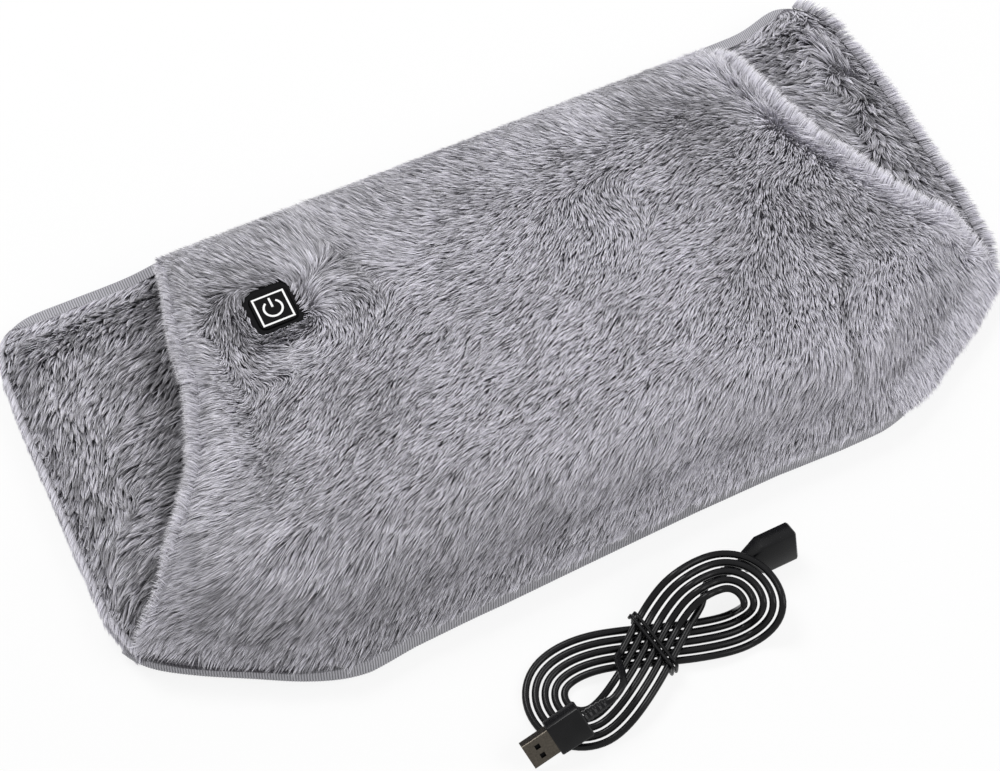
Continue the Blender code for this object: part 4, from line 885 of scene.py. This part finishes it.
def fibre_set(chance, roots, normals, lean, length, rises, tone_and_painted_light, longest=1.15):
    """A set of fibres whose lengths and rises, in degrees, vary by chance."""
    return {
        "roots": roots, "normals": normals, "lean": lean,
        "length": chance.uniform(0.8, longest, len(roots)) * length,
        "rise_first": np.radians(chance.uniform(*rises[0], len(roots))),
        "rise_last": np.radians(chance.uniform(*rises[1], len(roots))),
        "tone_and_painted_light": tone_and_painted_light,
    }


def skin_fibres(
    layer, edge, side, spacing, marks, keep_if, length, rises, seam_start, rim_start, seed,
    restless=0.3, hang_over=0.35, rim_way_and_painted_sheen=(1, 0, 0.2), seen_rise=11,
):
    """Fibres on one skin of a panel. Side is 1 where they stand up and -1 where they hang down."""
    chance = np.random.default_rng(seed)
    x, y = scatter((-0.211, -EDGE_Y), (0.211, EDGE_Y), spacing / math.sqrt(SPARE), seed)
    half = np.interp(y, *edge)
    to_seam, out = seam_field(x, y)
    keep = (half - np.abs(x) > rim_start) & (to_seam > seam_start) & keep_if(x, y)
    x, y, to_seam, out = x[keep], y[keep], to_seam[keep], out[keep]
    normals = surface_normals(maps[layer + "_tip"], x, y, side)
    keep = chance.uniform(0, 1, len(x)) < np.minimum(0.5 / np.maximum(np.abs(normals[:, 2]), 0.35), 1)
    x, y, to_seam, out, normals = x[keep], y[keep], to_seam[keep], out[keep], normals[keep]
    cloth, tips = read_map(maps[layer + "_cloth"], x, y), read_map(maps[layer + "_tip"], x, y)
    ways = brushed(marks, x, y, math.radians(sum(rises[1]) / 2 + seen_rise))
    hang = np.clip(1 - (to_seam - seam_start) / (9 * MM), 0, 1)[:, None] * hang_over
    ways = ways * (1 - hang) + out * hang
    near_rim = 1 - eased_step(np.interp(y, *edge) - np.abs(x) - rim_start, 0, 11 * MM)
    near_rim *= eased_step(y, -0.075, -0.05)
    over_rim = np.stack([np.sign(x) * rim_way_and_painted_sheen[0], np.full_like(x, rim_way_and_painted_sheen[1])], 1)
    ways = ways * (1 - 0.85 * near_rim[:, None]) + over_rim * 0.85 * near_rim[:, None]
    strays = waves(x, y, 24 * MM, seed + 5) + 0.7 * waves(x, y, 9 * MM, seed + 6)
    lean = wander(unit(ways), restless * strays)
    full = np.clip(np.abs(tips - cloth) / (7 * MM), 0.3, 1)
    tone_and_painted_light = 0.5 + 0.1 * waves(x, y, 55 * MM, seed + 1) + 0.08 * waves(x, y, 12 * MM, seed + 2)
    # Painted sheen: the pile is made lighter near an open rim, by the third value of the rim's way.
    tone_and_painted_light += rim_way_and_painted_sheen[2] * near_rim
    roots = np.stack([x, y, cloth + (tips - cloth) * 0.2], 1)
    return fibre_set(chance, roots, normals, lean, length * (0.5 + 0.5 * full), rises, tone_and_painted_light)


def tape_top(x, y):
    """Height of the binding tape's upper edge, which steps down beside the front panel."""
    lower = np.interp(np.abs(x), np.array([139.4, 153.4]) * MM, np.array([12.7, 7]) * MM)
    upper = np.interp(x, np.array([-136, -120, 150, 170]) * MM, np.array([7, 12.7, 12.7, 7]) * MM)
    return np.where(y > 0, upper, lower)


def droop(fibres, width, lift, longer, ragged):
    """Fibres near a sewn edge start above the tape, and their tips fall over it."""
    x, y = fibres["roots"][:, 0], fibres["roots"][:, 1]
    close = 1 - eased_step(seam_field(x, y)[0], 0, width)
    short = np.maximum(tape_top(x, y) + lift - fibres["roots"][:, 2], 0)
    fibres["roots"][:, 2] += short * np.minimum(close * 2, 1)
    fibres["rise_first"] -= np.radians(14) * close
    fibres["rise_last"] -= np.radians(34) * close
    tufted = longer + ragged * waves(x, y, 8 * MM, 7)
    fibres["length"] *= 1 + np.where(y > 0, -0.35, tufted) * close
    # Painted light: near the upper edge the pile is made lighter, against the shade beside the tape.
    fibres["tone_and_painted_light"] += np.where(y > 0, 0.2, 0) * close


FACING_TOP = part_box("switch_surround")[1].z
OPENING = np.array([(-10.8, -10.3), (9.8, 11.3)]) * MM


def from_switch(x, y):
    """How far a place is outside the clearing round the key: a rounded oblong."""
    middle, half = OPENING.mean(0) + BUTTON, (OPENING[1] - OPENING[0]) / 2 - 3 * MM
    over = np.maximum(np.abs(np.stack([x, y], 1) - middle) - half, 0)
    return np.hypot(over[:, 0], over[:, 1]) - 3 * MM


def clear_of_switch(x, y):
    return from_switch(x, y) > 0.45 * MM * waves(x, y, 5 * MM, 9)


CREASE = np.array([(121, -11), (123, -37), (117, -66), (114, -88)]) * MM

front = skin_fibres(
    "front", FRONT_EDGE, 1, 0.49 * MM, FRONT_MARKS, clear_of_switch, length=8.4 * MM,
    rises=((52, 76), (6, 30)), seam_start=0.9 * MM, rim_start=6 * MM, seed=3, restless=0.15, hang_over=0.15,
)
droop(front, 5.5 * MM, 0.2 * MM, 0.2, 0.5)
x, y = front["roots"][:, 0], front["roots"][:, 1]
gap = from_switch(x, y)
beside = 1 - eased_step(gap, 3.5 * MM, 9 * MM)
front["roots"][:, 2] += np.maximum(FACING_TOP - front["roots"][:, 2], 0) * beside
sunk = np.clip(1 - gap / (13 * MM), 0, 1)
parted = np.clip(1 - np.min([gap for _, gap in runs_of(CREASE, x, y)], axis=0) / (5 * MM), 0, 1)
front["length"] *= (1 - 0.4 * sunk) * (1 - 0.35 * parted)
front["rise_first"] -= np.radians(25) * sunk
front["rise_last"] -= np.radians(6) * sunk
# Painted shade: the pile is darker in the hollow round the switch and along the crease where it parts.
front["tone_and_painted_light"] -= 0.06 * sunk + 0.25 * parted
# Painted light and shade across the front: darker to the left and along the lower left, lighter from the
# middle rightwards, darker over the top and at the right side above its lower part.
front["tone_and_painted_light"] -= 0.07 * (1 - eased_step(x, -0.16, 0.02))
front["tone_and_painted_light"] -= 0.06 * (1 - eased_step(y, -0.09, -0.04)) * (x < 0)
front["tone_and_painted_light"] += 0.12 * eased_step(x, -0.1, 0) - 0.2 * eased_step(y, 0.02, 0.06)
front["tone_and_painted_light"] -= 0.19 * eased_step(x, 0.06, 0.12) * eased_step(y, -0.06, -0.02)
# Painted highlight: a light band about 15 mm in from the right rim.
from_rim = (np.interp(y, *FRONT_EDGE) - x) / MM
front["tone_and_painted_light"] += 0.4 * np.exp(-((from_rim - 15) / 7) ** 2) * eased_step(y, -0.06, -0.02)


# %% Fibres that fold over an open rim
def rim_fibres(edge, rows, middle_of, thick_of, arc, spacing, length, rises, tone_and_painted_light, inset, seed, sweep=0):
    """Pile wrapped round the end of a panel, from its upper side to its lower side."""
    chance = np.random.default_rng(seed)
    count = int((rows[1] - rows[0]) / spacing * 2 * SPARE * 16)
    y = chance.uniform(rows[0], rows[1], count)
    side = np.where(chance.uniform(0, 1, count) < 0.5, -1.0, 1.0)
    turn = np.radians(chance.uniform(arc[0], arc[1], count))
    half = np.interp(y, *edge) - inset
    middle, thick = middle_of(side * half, y), thick_of(side * half, y)
    lower = np.interp(y + MM, *edge) - np.interp(y - MM, *edge)
    out = unit(np.stack([side, -lower / (2 * MM), np.zeros_like(y)], 1))
    up = np.array([0.0, 0.0, 1.0])
    normals = out * np.cos(turn)[:, None] + up * np.sin(turn)[:, None]
    lean = out * np.sin(turn)[:, None] - up * np.cos(turn)[:, None]
    lean[:, 1] += sweep + 0.25 * waves(side * half + y, y, 16 * MM, seed)
    roots = np.stack([side * half, y, middle], 1) + normals * thick[:, None] * 0.7
    tone_and_painted_light = tone_and_painted_light + 0.08 * waves(side * half + y, y, 20 * MM, seed + 1)
    return fibre_set(chance, roots, normals, lean, length, rises, tone_and_painted_light)


def joined(*sets):
    return {key: np.concatenate([s[key] for s in sets]) for key in sets[0]}


def layer_middle(low, high):
    """A function that gives the height midway between two skins."""
    return lambda x, y: (read_map(maps[low], x, y) + read_map(maps[high], x, y)) / 2


def front_thick(x, y):
    whole = read_map(maps["front_tip"], x, y) - read_map(maps["roof_tip"], x, y)
    return np.maximum(whole / 2 - 4 * MM, 1.2 * MM)


# Painted sheen: the pile folded over the front's rims is made lighter, a little less so on the left.
front_rim = rim_fibres(
    FRONT_EDGE, (-0.061, 0.101), layer_middle("front_tip", "roof_tip"), front_thick, (-50, 115),
    spacing=0.4 * MM, length=8 * MM, rises=((40, 62), (12, 34)), tone_and_painted_light=0.66, inset=7.5 * MM, seed=81,
)
front_rim["tone_and_painted_light"] += np.where(front_rim["roots"][:, 0] > 0, 0, -0.16)


def overhang(first, last, count, seed):
    """Long fibres that fall over the tape between two places along the lower right edge."""
    chance = np.random.default_rng(seed)
    line = LOWER_SEAM[-5:]
    runs = np.concatenate([[0], np.cumsum(np.hypot(*np.diff(line, axis=0).T))])
    at = chance.uniform(first, last, int(count * SPARE))
    x, y = np.interp(at, runs, line[:, 0]), np.interp(at, runs, line[:, 1])
    out = seam_field(x, y)[1]
    inside = chance.uniform(1, 9, len(x)) * MM
    x, y = x - out[:, 0] * inside, y - out[:, 1] * inside
    full = eased_step(at, first, first + 0.014)
    depth = chance.uniform(0, 3, len(x)) * MM
    roots = np.stack([x, y, read_map(maps["front_tip"], x, y) - depth], 1)
    normals = unit(np.concatenate([out * 0.5, np.ones((len(x), 1))], 1))
    lean = np.concatenate([out, np.zeros((len(x), 1))], 1)
    # Painted sheen: the fibres that fall over the lower right edge are made lighter.
    tone_and_painted_light = 0.75 + 0.08 * waves(x, y, 20 * MM, seed + 1)
    rises = ((20, 50), (-45, -15))
    made = fibre_set(chance, roots, normals, lean, (5 + 5 * full) * MM, rises, tone_and_painted_light, longest=1.1)
    made["rise_last"] -= np.radians(30) * full
    return made


front = joined(front, overhang(0, 0.085, 10500, 91))
front_pile = grow_in_bands(
    "front_pile", front, plush_front, width=0.27 * MM, lock_spacing=1.35 * MM, pull=0.55, shape_by=settled,
)
front_pile += grow_in_bands(
    "front_rim_pile", front_rim, plush_front, width=0.24 * MM, lock_spacing=1.2 * MM, pull=0.12,
    shape_by=settled,
)

# %% Pile of the flaps, the tunnel and the underside
def near_opening(x, y):
    return (np.abs(x) > np.interp(y, *FRONT_EDGE) - 26 * MM) & (EDGE_Y - y > 4 * MM)


def deep_inside(x, y):
    return ~near_opening(x, y)


def everywhere(x, y):
    return np.abs(x) > -1


def layer_thick(x, y):
    return np.full_like(x, 1.6 * MM)


flap = skin_fibres(
    "floor", BACK_EDGE, 1, 0.5 * MM, FLAP_MARKS, near_opening, length=10.5 * MM, rises=((40, 66), (2, 28)),
    seam_start=0.9 * MM, rim_start=3 * MM, seed=41, restless=0.24, hang_over=0, rim_way_and_painted_sheen=(0.6, -0.8, 0.1),
    seen_rise=20,
)
droop(flap, 4 * MM, 0.2 * MM, -0.25, 0.2)
x, y = flap["roots"][:, 0], flap["roots"][:, 1]
below_tape = 1 - eased_step(EDGE_Y - y, 5 * MM, 20 * MM)
flap["rise_first"] -= np.radians(26) * below_tape
flap["rise_last"] -= np.radians(14) * below_tape
# Painted light: the flap's pile is made lighter below the upper tape, against the tape's shadow.
flap["tone_and_painted_light"] += 0.25 * below_tape
flap["length"] *= 0.55 + 0.45 * eased_step(np.interp(y, *BACK_EDGE) - np.abs(x), 3 * MM, 16 * MM)
shift = np.where(x < 0, -np.interp(y, OPENINGS[0], OPENINGS[1]), np.interp(y, OPENINGS[0], OPENINGS[2]))
from_front = np.abs(x) - np.interp(y, *FRONT_EDGE) - shift
# Painted shade: the flaps are darker all over, and a painted shadow lies beside the front panel's edge.
flap["tone_and_painted_light"] -= np.where(x > 0, 0.2, 0.15) + 0.35 * (1 - eased_step(from_front, 2 * MM, 13 * MM))
# Painted sheen: the pile round the flaps' rims is made lighter, most on the underside's rim and less at the
# right end.
flap_rim = rim_fibres(
    BACK_EDGE, (-0.06, 0.101), layer_middle("floor_cloth", "floor_tip"), layer_thick, (-20, 95),
    spacing=0.5 * MM, length=5 * MM, rises=((6, 18), (-10, 2)), tone_and_painted_light=0.66, inset=3.4 * MM, seed=83,
    sweep=-1.2,
)
base_rim = rim_fibres(
    BACK_EDGE, (-0.058, 0.101), layer_middle("base_cloth", "base_tip"), layer_thick, (-60, 50),
    spacing=0.4 * MM, length=4.5 * MM, rises=((4, 16), (-12, 0)), tone_and_painted_light=0.78, inset=2.4 * MM, seed=85,
    sweep=-1.2,
)
flap_rim = joined(flap_rim, base_rim)
right_end = flap_rim["roots"][:, 0] > 0
flap_rim["lean"][right_end, 1] += 0.8
flap_rim["length"][right_end] *= 1.3
flap_rim["rise_first"][right_end] += np.radians(30)
flap_rim["rise_last"][right_end] += np.radians(24)
flap_rim["tone_and_painted_light"][right_end] -= 0.15
pieces = grow_in_bands("flap_pile", flap, plush_front, width=0.3 * MM, lock_spacing=4 * MM, pull=0.75)
pieces += grow_in_bands(
    "flap_rim_pile", flap_rim, plush_front, width=0.26 * MM, lock_spacing=2 * MM, pull=0.3,
)
pieces += grow_in_bands("tunnel_floor_pile", skin_fibres(
    "floor", BACK_EDGE, 1, 1.35 * MM, FLAP_MARKS, deep_inside, length=9 * MM, rises=((30, 50), (0, 15)),
    seam_start=5 * MM, rim_start=3 * MM, seed=51, hang_over=0,
), plush_front, width=0.7 * MM)
pieces += grow_in_bands("tunnel_roof_pile", skin_fibres(
    "roof", FRONT_EDGE, -1, 1.2 * MM, FLAP_MARKS, everywhere, length=8 * MM, rises=((30, 50), (0, 15)),
    seam_start=5 * MM, rim_start=6 * MM, seed=61, hang_over=0,
), plush_front, width=0.65 * MM, shape_by=settled)
pieces += grow_in_bands("back_pile", skin_fibres(
    "base", BACK_EDGE, -1, 0.76 * MM, FLAP_MARKS, everywhere, length=10 * MM, rises=((26, 44), (-4, 10)),
    seam_start=10 * MM, rim_start=4 * MM, seed=71, hang_over=-0.8, rim_way_and_painted_sheen=(-0.5, -0.9, 0.1),
), plush_front, width=0.5 * MM, lock_spacing=4 * MM)
for piece in front_pile + pieces:
    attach(piece, "muff")

# %% [markdown]
# ## Binding tape
# The edges are closed by a folded tape with fine cross ribs. It is swept in code, because each ring of
# the sweep can stand a little prouder or lower than the next, and that makes the ribs real.

# %% Binding tape
RIB_STEP = 0.28 * MM
RIB_HEIGHT = 0.3 * MM
BULGE = 0.95 * MM
FOLD = 0.9 * MM
CHAMFER = 0.3 * MM
tape_cloth, tree, shader = material("ribbed_polyester_tape", {"Roughness": 0.85, "Sheen Weight": 0.2})
yarn = noise(tree, 3, 4)
painted_rib_shade = node(tree, "ShaderNodeAttribute", attribute_name="painted_rib_shade").outputs["Fac"]
thread = ramp(tree, yarn, (0.3, "#B2B1B8"), (0.7, "#CCCBD2"))
# Painted shade: the grooves between the tape's ribs are darker than its ridges.
paint_shaded(tree, shader, thread, ramp(tree, painted_rib_shade, (0.0, "#8C8C8C"), (1.0, "#FFFFFF")))
emboss(tree, shader, yarn, 0.4, 0.2 * MM)


def even_points(line, step):
    """Points at an even step along straight runs."""
    runs = [0]
    for a, b in zip(line, line[1:]):
        runs.append(runs[-1] + (b - a).length)
    at = np.linspace(0, runs[-1], max(2, round(runs[-1] / step)))
    return [Vector([np.interp(s, runs, [p[axis] for p in line]) for axis in range(3)]) for s in at]


def eased(points, width):
    """Round the corners of an evenly stepped line by averaging neighbours."""
    values = np.array(points)
    padded = np.concatenate([np.repeat(values[:1], width, 0), values, np.repeat(values[-1:], width, 0)])
    kernel = np.ones(width * 2 + 1) / (width * 2 + 1)
    smooth = np.stack([np.convolve(padded[:, axis], kernel, "valid") for axis in range(3)], 1)
    smooth[0], smooth[-1] = values[0], values[-1]
    return [Vector(p) for p in smooth]


def binding(name, corners, node_name, flange):
    """Sweep a folded tape. A corner is (x, y, underside, top) in mm."""
    line = even_points([Vector(c[:3]) * MM for c in corners], RIB_STEP)
    tops = even_points([Vector((c[0], c[1], c[3])) * MM for c in corners], RIB_STEP)[:len(line)]
    tops += tops[-1:] * (len(line) - len(tops))
    line, tops = eased(eased(line, 36), 22), eased(eased(tops, 36), 22)
    solid = bmesh.new()
    # Each ring's share is also kept for the tape's colour, which paints the grooves darker as shade.
    painted_rib_shade = solid.verts.layers.float.new("painted_rib_shade")
    rings = []
    count = len(line)
    for index, (low, high) in enumerate(zip(line, tops)):
        along = (line[min(index + 1, count - 1)] - line[max(index - 1, 0)]).normalized()
        out = Vector((along.y, -along.x, 0)).normalized()
        share = (1, 0.6, 0, 0.6)[index % 4]
        rib = (share - 0.6) * RIB_HEIGHT
        middle, half = (low.z + high.z) / 2, (high.z - low.z) / 2
        profile = [(-flange, half - CHAMFER)]
        for degrees in range(80, -81, -20):
            turn = math.radians(degrees)
            reach = BULGE * abs(math.cos(turn)) ** 0.5 + rib
            profile.append((reach, math.sin(turn) * (half - 0.1 * MM) + math.copysign(rib, turn) * 0.6))
        profile += [(-flange, CHAMFER - half), (-flange, FOLD - half), (0.1 * MM, FOLD - half)]
        profile += [(0.1 * MM, half - FOLD), (-flange, half - FOLD)]
        foot = Vector((low.x, low.y, middle))
        rings.append([solid.verts.new(foot + out * o + Vector((0, 0, h))) for o, h in profile])
        for corner in rings[-1]:
            corner[painted_rib_shade] = share
    for ring, after in zip(rings, rings[1:]):
        for i in range(len(ring)):
            j = (i + 1) % len(ring)
            solid.faces.new((ring[i], after[i], after[j], ring[j]))
    solid.faces.new(rings[0])
    solid.faces.new(rings[-1][::-1])
    piece = solid_object(name, solid, tape_cloth)
    moved_points(piece, drawn)
    take(piece)
    bpy.ops.object.shade_smooth_by_angle(angle=math.radians(50))
    dress(piece, "muff", "grey_tape", node_name)
    print(name, count, "rings,", len(piece.data.polygons), "faces")


edge_y = EDGE_Y / MM
right = [(128.1, -edge_y), (147, -98), (160.6, -90), (178.5, -79.5), (200.6, -61.5), (204, -54)]
left = [(-204, -54), (-200.6, -61.5), (-178, -80.5), (-160, -92), (-146, -100.5), (-126, -108.2)]
lower = left + [(-95, -107), (-70, -edge_y)] + right
lower_heights = [(x, y, 1.2, 12.7 if abs(x) < 140 else 8) for x, y in lower]
lower_heights[0], lower_heights[-1] = (-204, -54, 2, 4.5), (204, -54, 2, 4.5)
binding("lower_tape", lower_heights, "bottom_binding", 2.8 * MM)
upper = [
    (203, 98, 4.5), (194.3, edge_y, 7), (170, edge_y, 7), (150, edge_y, 12.7),
    (-120, edge_y, 12.7), (-136, edge_y, 7), (-194.3, edge_y, 7), (-203, 98, 4.5),
]
binding("upper_tape", [(x, y, 1.5, top) for x, y, top in upper], "top_binding", 4.6 * MM)

# %% [markdown]
# ## The switch's print
# The key carries a white printed square and a plain power symbol. Print is ink a few hundredths of a
# millimetre thick, so the marks are thin flat shapes that stand just off the key and move with it.

# %% Print on the key
ink, tree, shader = material("white_pad_print_ink", {"Roughness": 0.6})
paint(tree, shader, noise(tree, 6, 3), (0.3, "#E4E4E4"), (0.7, "#FAFAFA"))

key_low, key_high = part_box("power_key")
KEY_MIDDLE = Vector(((key_low.x + key_high.x) / 2, (key_low.y + key_high.y) / 2, key_high.z))


# Heights of the ink's top and foot over the key, in mm. The foot sinks in, so that no gap shows.
INK_TOP = 0.05
INK_FOOT = -0.02


def flat_ring(name, outer, inner, open_ring=False):
    """A thin printed band between two outlines of as many points."""
    solid = bmesh.new()
    rows = []
    for points, z in ((outer, INK_TOP), (inner, INK_TOP), (inner, INK_FOOT), (outer, INK_FOOT)):
        rows.append([solid.verts.new(KEY_MIDDLE + Vector((x, y, z)) * MM) for x, y in points])
    count = len(outer)
    last = count - 1 if open_ring else count
    for row, after in zip(rows, rows[1:] + rows[:1]):
        for i in range(last):
            j = (i + 1) % count
            solid.faces.new((row[i], row[j], after[j], after[i]))
    if open_ring:
        solid.faces.new([row[0] for row in rows])
        solid.faces.new([row[-1] for row in rows])
    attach(solid_object(name, solid, ink), "power_key")


def square(half):
    return [(-half, -half), (half, -half), (half, half), (-half, half)]


def arc(radius, start, end, count):
    angles = np.radians(np.linspace(start, end, count))
    return [(radius * math.cos(a), radius * math.sin(a)) for a in angles]


flat_ring("print_square", square(7.2), square(6.4))
flat_ring("print_power_ring", arc(4.4, 125, 415, 49), arc(3.5, 125, 415, 49), open_ring=True)
bar = [(-0.45, 0.6), (0.45, 0.6), (0.45, 5.3), (-0.45, 5.3)]
flat_ring("print_power_bar", bar, [(-0.02, 0.62), (0.02, 0.62), (0.02, 5.28), (-0.02, 5.28)])

# %% [markdown]
# ## The lead's connectors and tie
# Moulded PVC has no knife edges: the mould leaves a small radius. Each moulding is a merged copy of its
# CAD node with a narrow bevel. The metal shells keep their CAD shape and get a nickel finish.


# %% Moulded parts of the lead
def moulded(node_name, name, width, segments):
    """A merged copy of a CAD moulding with rounded edges."""
    piece = copy_of(node_name, name, pvc)
    edit_all(piece, (bpy.ops.mesh.dissolve_limited, {"angle_limit": math.radians(4)}))
    edge = piece.modifiers.new("edge", "BEVEL")
    edge.width = width
    edge.segments = segments
    edge.limit_method = "ANGLE"
    edge.angle_limit = math.radians(28)
    edge.harden_normals = False
    apply_all(piece)
    bpy.ops.object.shade_smooth_by_angle(angle=math.radians(35))
    dress(piece, "extension_lead", "black_pvc", node_name)
    print(name, len(piece.data.polygons), "faces")
    return piece


MOULDINGS = {
    "plug_overmould": ("plug_body", 0.35 * MM, 3),
    "socket_overmould": ("socket_body", 0.35 * MM, 3),
    "plug_strain_relief": ("plug_relief", 0.15 * MM, 2),
    "socket_strain_relief": ("socket_relief", 0.15 * MM, 2),
}
connector_nodes = [n for n in frame["nodes"] if n.startswith(("plug_", "socket_"))]
on_the_cord = [n for n in connector_nodes if n not in MOULDINGS]
on_the_cord += [moulded(node_name, *values) for node_name, values in MOULDINGS.items()]


# %% The tie
TIE_CORD = 1.5 * MM


def tie_route():
    """Two turns of thin cord round the waist, as the CAD model has it."""
    slant = math.cos(math.atan2(SWELL * 2, REACH))
    half_wide = (PITCH * TURN_COUNT / 2 + CORD / 2) / slant + 0.4 * MM + TIE_CORD / 2
    low, high, corner = TIE_CORD / 2, 9.85 * MM, 2.4 * MM
    ring = []
    for quarter in range(4):
        side_w = 1 if quarter in (0, 3) else -1
        side_z = 1 if quarter in (0, 1) else -1
        for step in range(4):
            angle = math.pi / 2 * (quarter + step / 3)
            ring.append((
                side_w * (half_wide - corner) + corner * math.cos(angle),
                (low + high) / 2 + side_z * ((high - low) / 2 - corner) + corner * math.sin(angle),
            ))
    points = []
    for step in range(len(ring) * 2):
        w, z = ring[step % len(ring)]
        points.append(Vector((2.1 * MM * (step / len(ring) - 1), w, z)))
    return points


tie_points = [HANK_TURN @ p for p in smooth_run(tie_route(), 0.8 * MM)]
tie_length = sum((b - a).length for a, b in zip(tie_points, tie_points[1:]))
tie = cord_piece("cord_tie_wrap", tie_points, TIE_CORD, pvc, 3)
dress(tie, "extension_lead", "black_pvc", "cord_tie")
print("tie:", round(tie_length, 3), "m")

# %% [markdown]
# ## Finishes of the carried-over parts
# The hard parts keep their CAD shapes. Each gets the finish of its record slot: satin ABS, nickel
# plate, gold-flashed contacts, lacquered board and so on.


# %% Hard finishes
def speckled(name, dark, light, grain_mm, rough_low, rough_high, metallic=0, bump_mm=0.02, gloss=0.5):
    """A plain moulded, plated or coated finish: slight colour change and a grain of a real size."""
    made, tree, shader = material(name, {"Metallic": metallic, "Specular IOR Level": gloss})
    grain = noise(tree, 1 / grain_mm, 4)
    paint(tree, shader, grain, (0.3, dark), (0.7, light))
    roughen(tree, shader, grain, rough_low, rough_high)
    emboss(tree, shader, grain, 0.3, bump_mm * MM)
    return made


finishes = {
    "carrier_felt": speckled("needled_felt_off_white", "#CFCEC6", "#E6E5DE", 0.6, 0.9, 1.0, 0, 0.2),
    "carbon_wire": speckled("silicone_sleeve_black", "#1B1B1C", "#262627", 0.5, 0.45, 0.6),
    "lead_wire": speckled("pvc_sleeve_red", "#A01414", "#B81C1C", 0.8, 0.35, 0.5),
    "cutout_steel": speckled("pressed_steel_tinned", "#B9B9B6", "#CFCFCC", 0.4, 0.25, 0.4, 1),
    "black_patch": speckled("rubberised_facing_black", "#0A0A0B", "#141416", 0.35, 0.55, 0.75, 0, 0.06, 0.06),
    "black_abs": speckled("satin_abs_black", "#070708", "#0D0D0E", 0.3, 0.38, 0.5, gloss=0.04),
    "board_green": speckled("lacquered_board_green", "#1C6B3A", "#248048", 1.2, 0.3, 0.42),
    "clear_diffuser": speckled("milky_polycarbonate", "#DEDEDA", "#F0F0EC", 1.0, 0.25, 0.35),
    "black_rubber": speckled("moulded_rubber_black", "#141415", "#1E1E1F", 0.5, 0.55, 0.7),
    "black_pvc": pvc,
    "plated_steel": speckled("nickel_plated_steel", "#45413B", "#544F48", 0.8, 0.2, 0.3, 1, 0.01),
    "gold_contact": speckled("gold_flashed_contact", "#D9A93E", "#EBC264", 0.5, 0.2, 0.3, 1, 0.01),
}
slot_of = {part["node"]: part.get("material_slot") for part in frame["record"]["subparts"]}
dressed = 0
for name, part in frame["nodes"].items():
    if not part.hide_render and slot_of.get(name) in finishes:
        for slot in part.material_slots:
            slot.material = finishes[slot_of[name]]
        dressed += 1
print("CAD parts with a new finish:", dressed, "of", sum(not p.hide_render for p in frame["nodes"].values()))
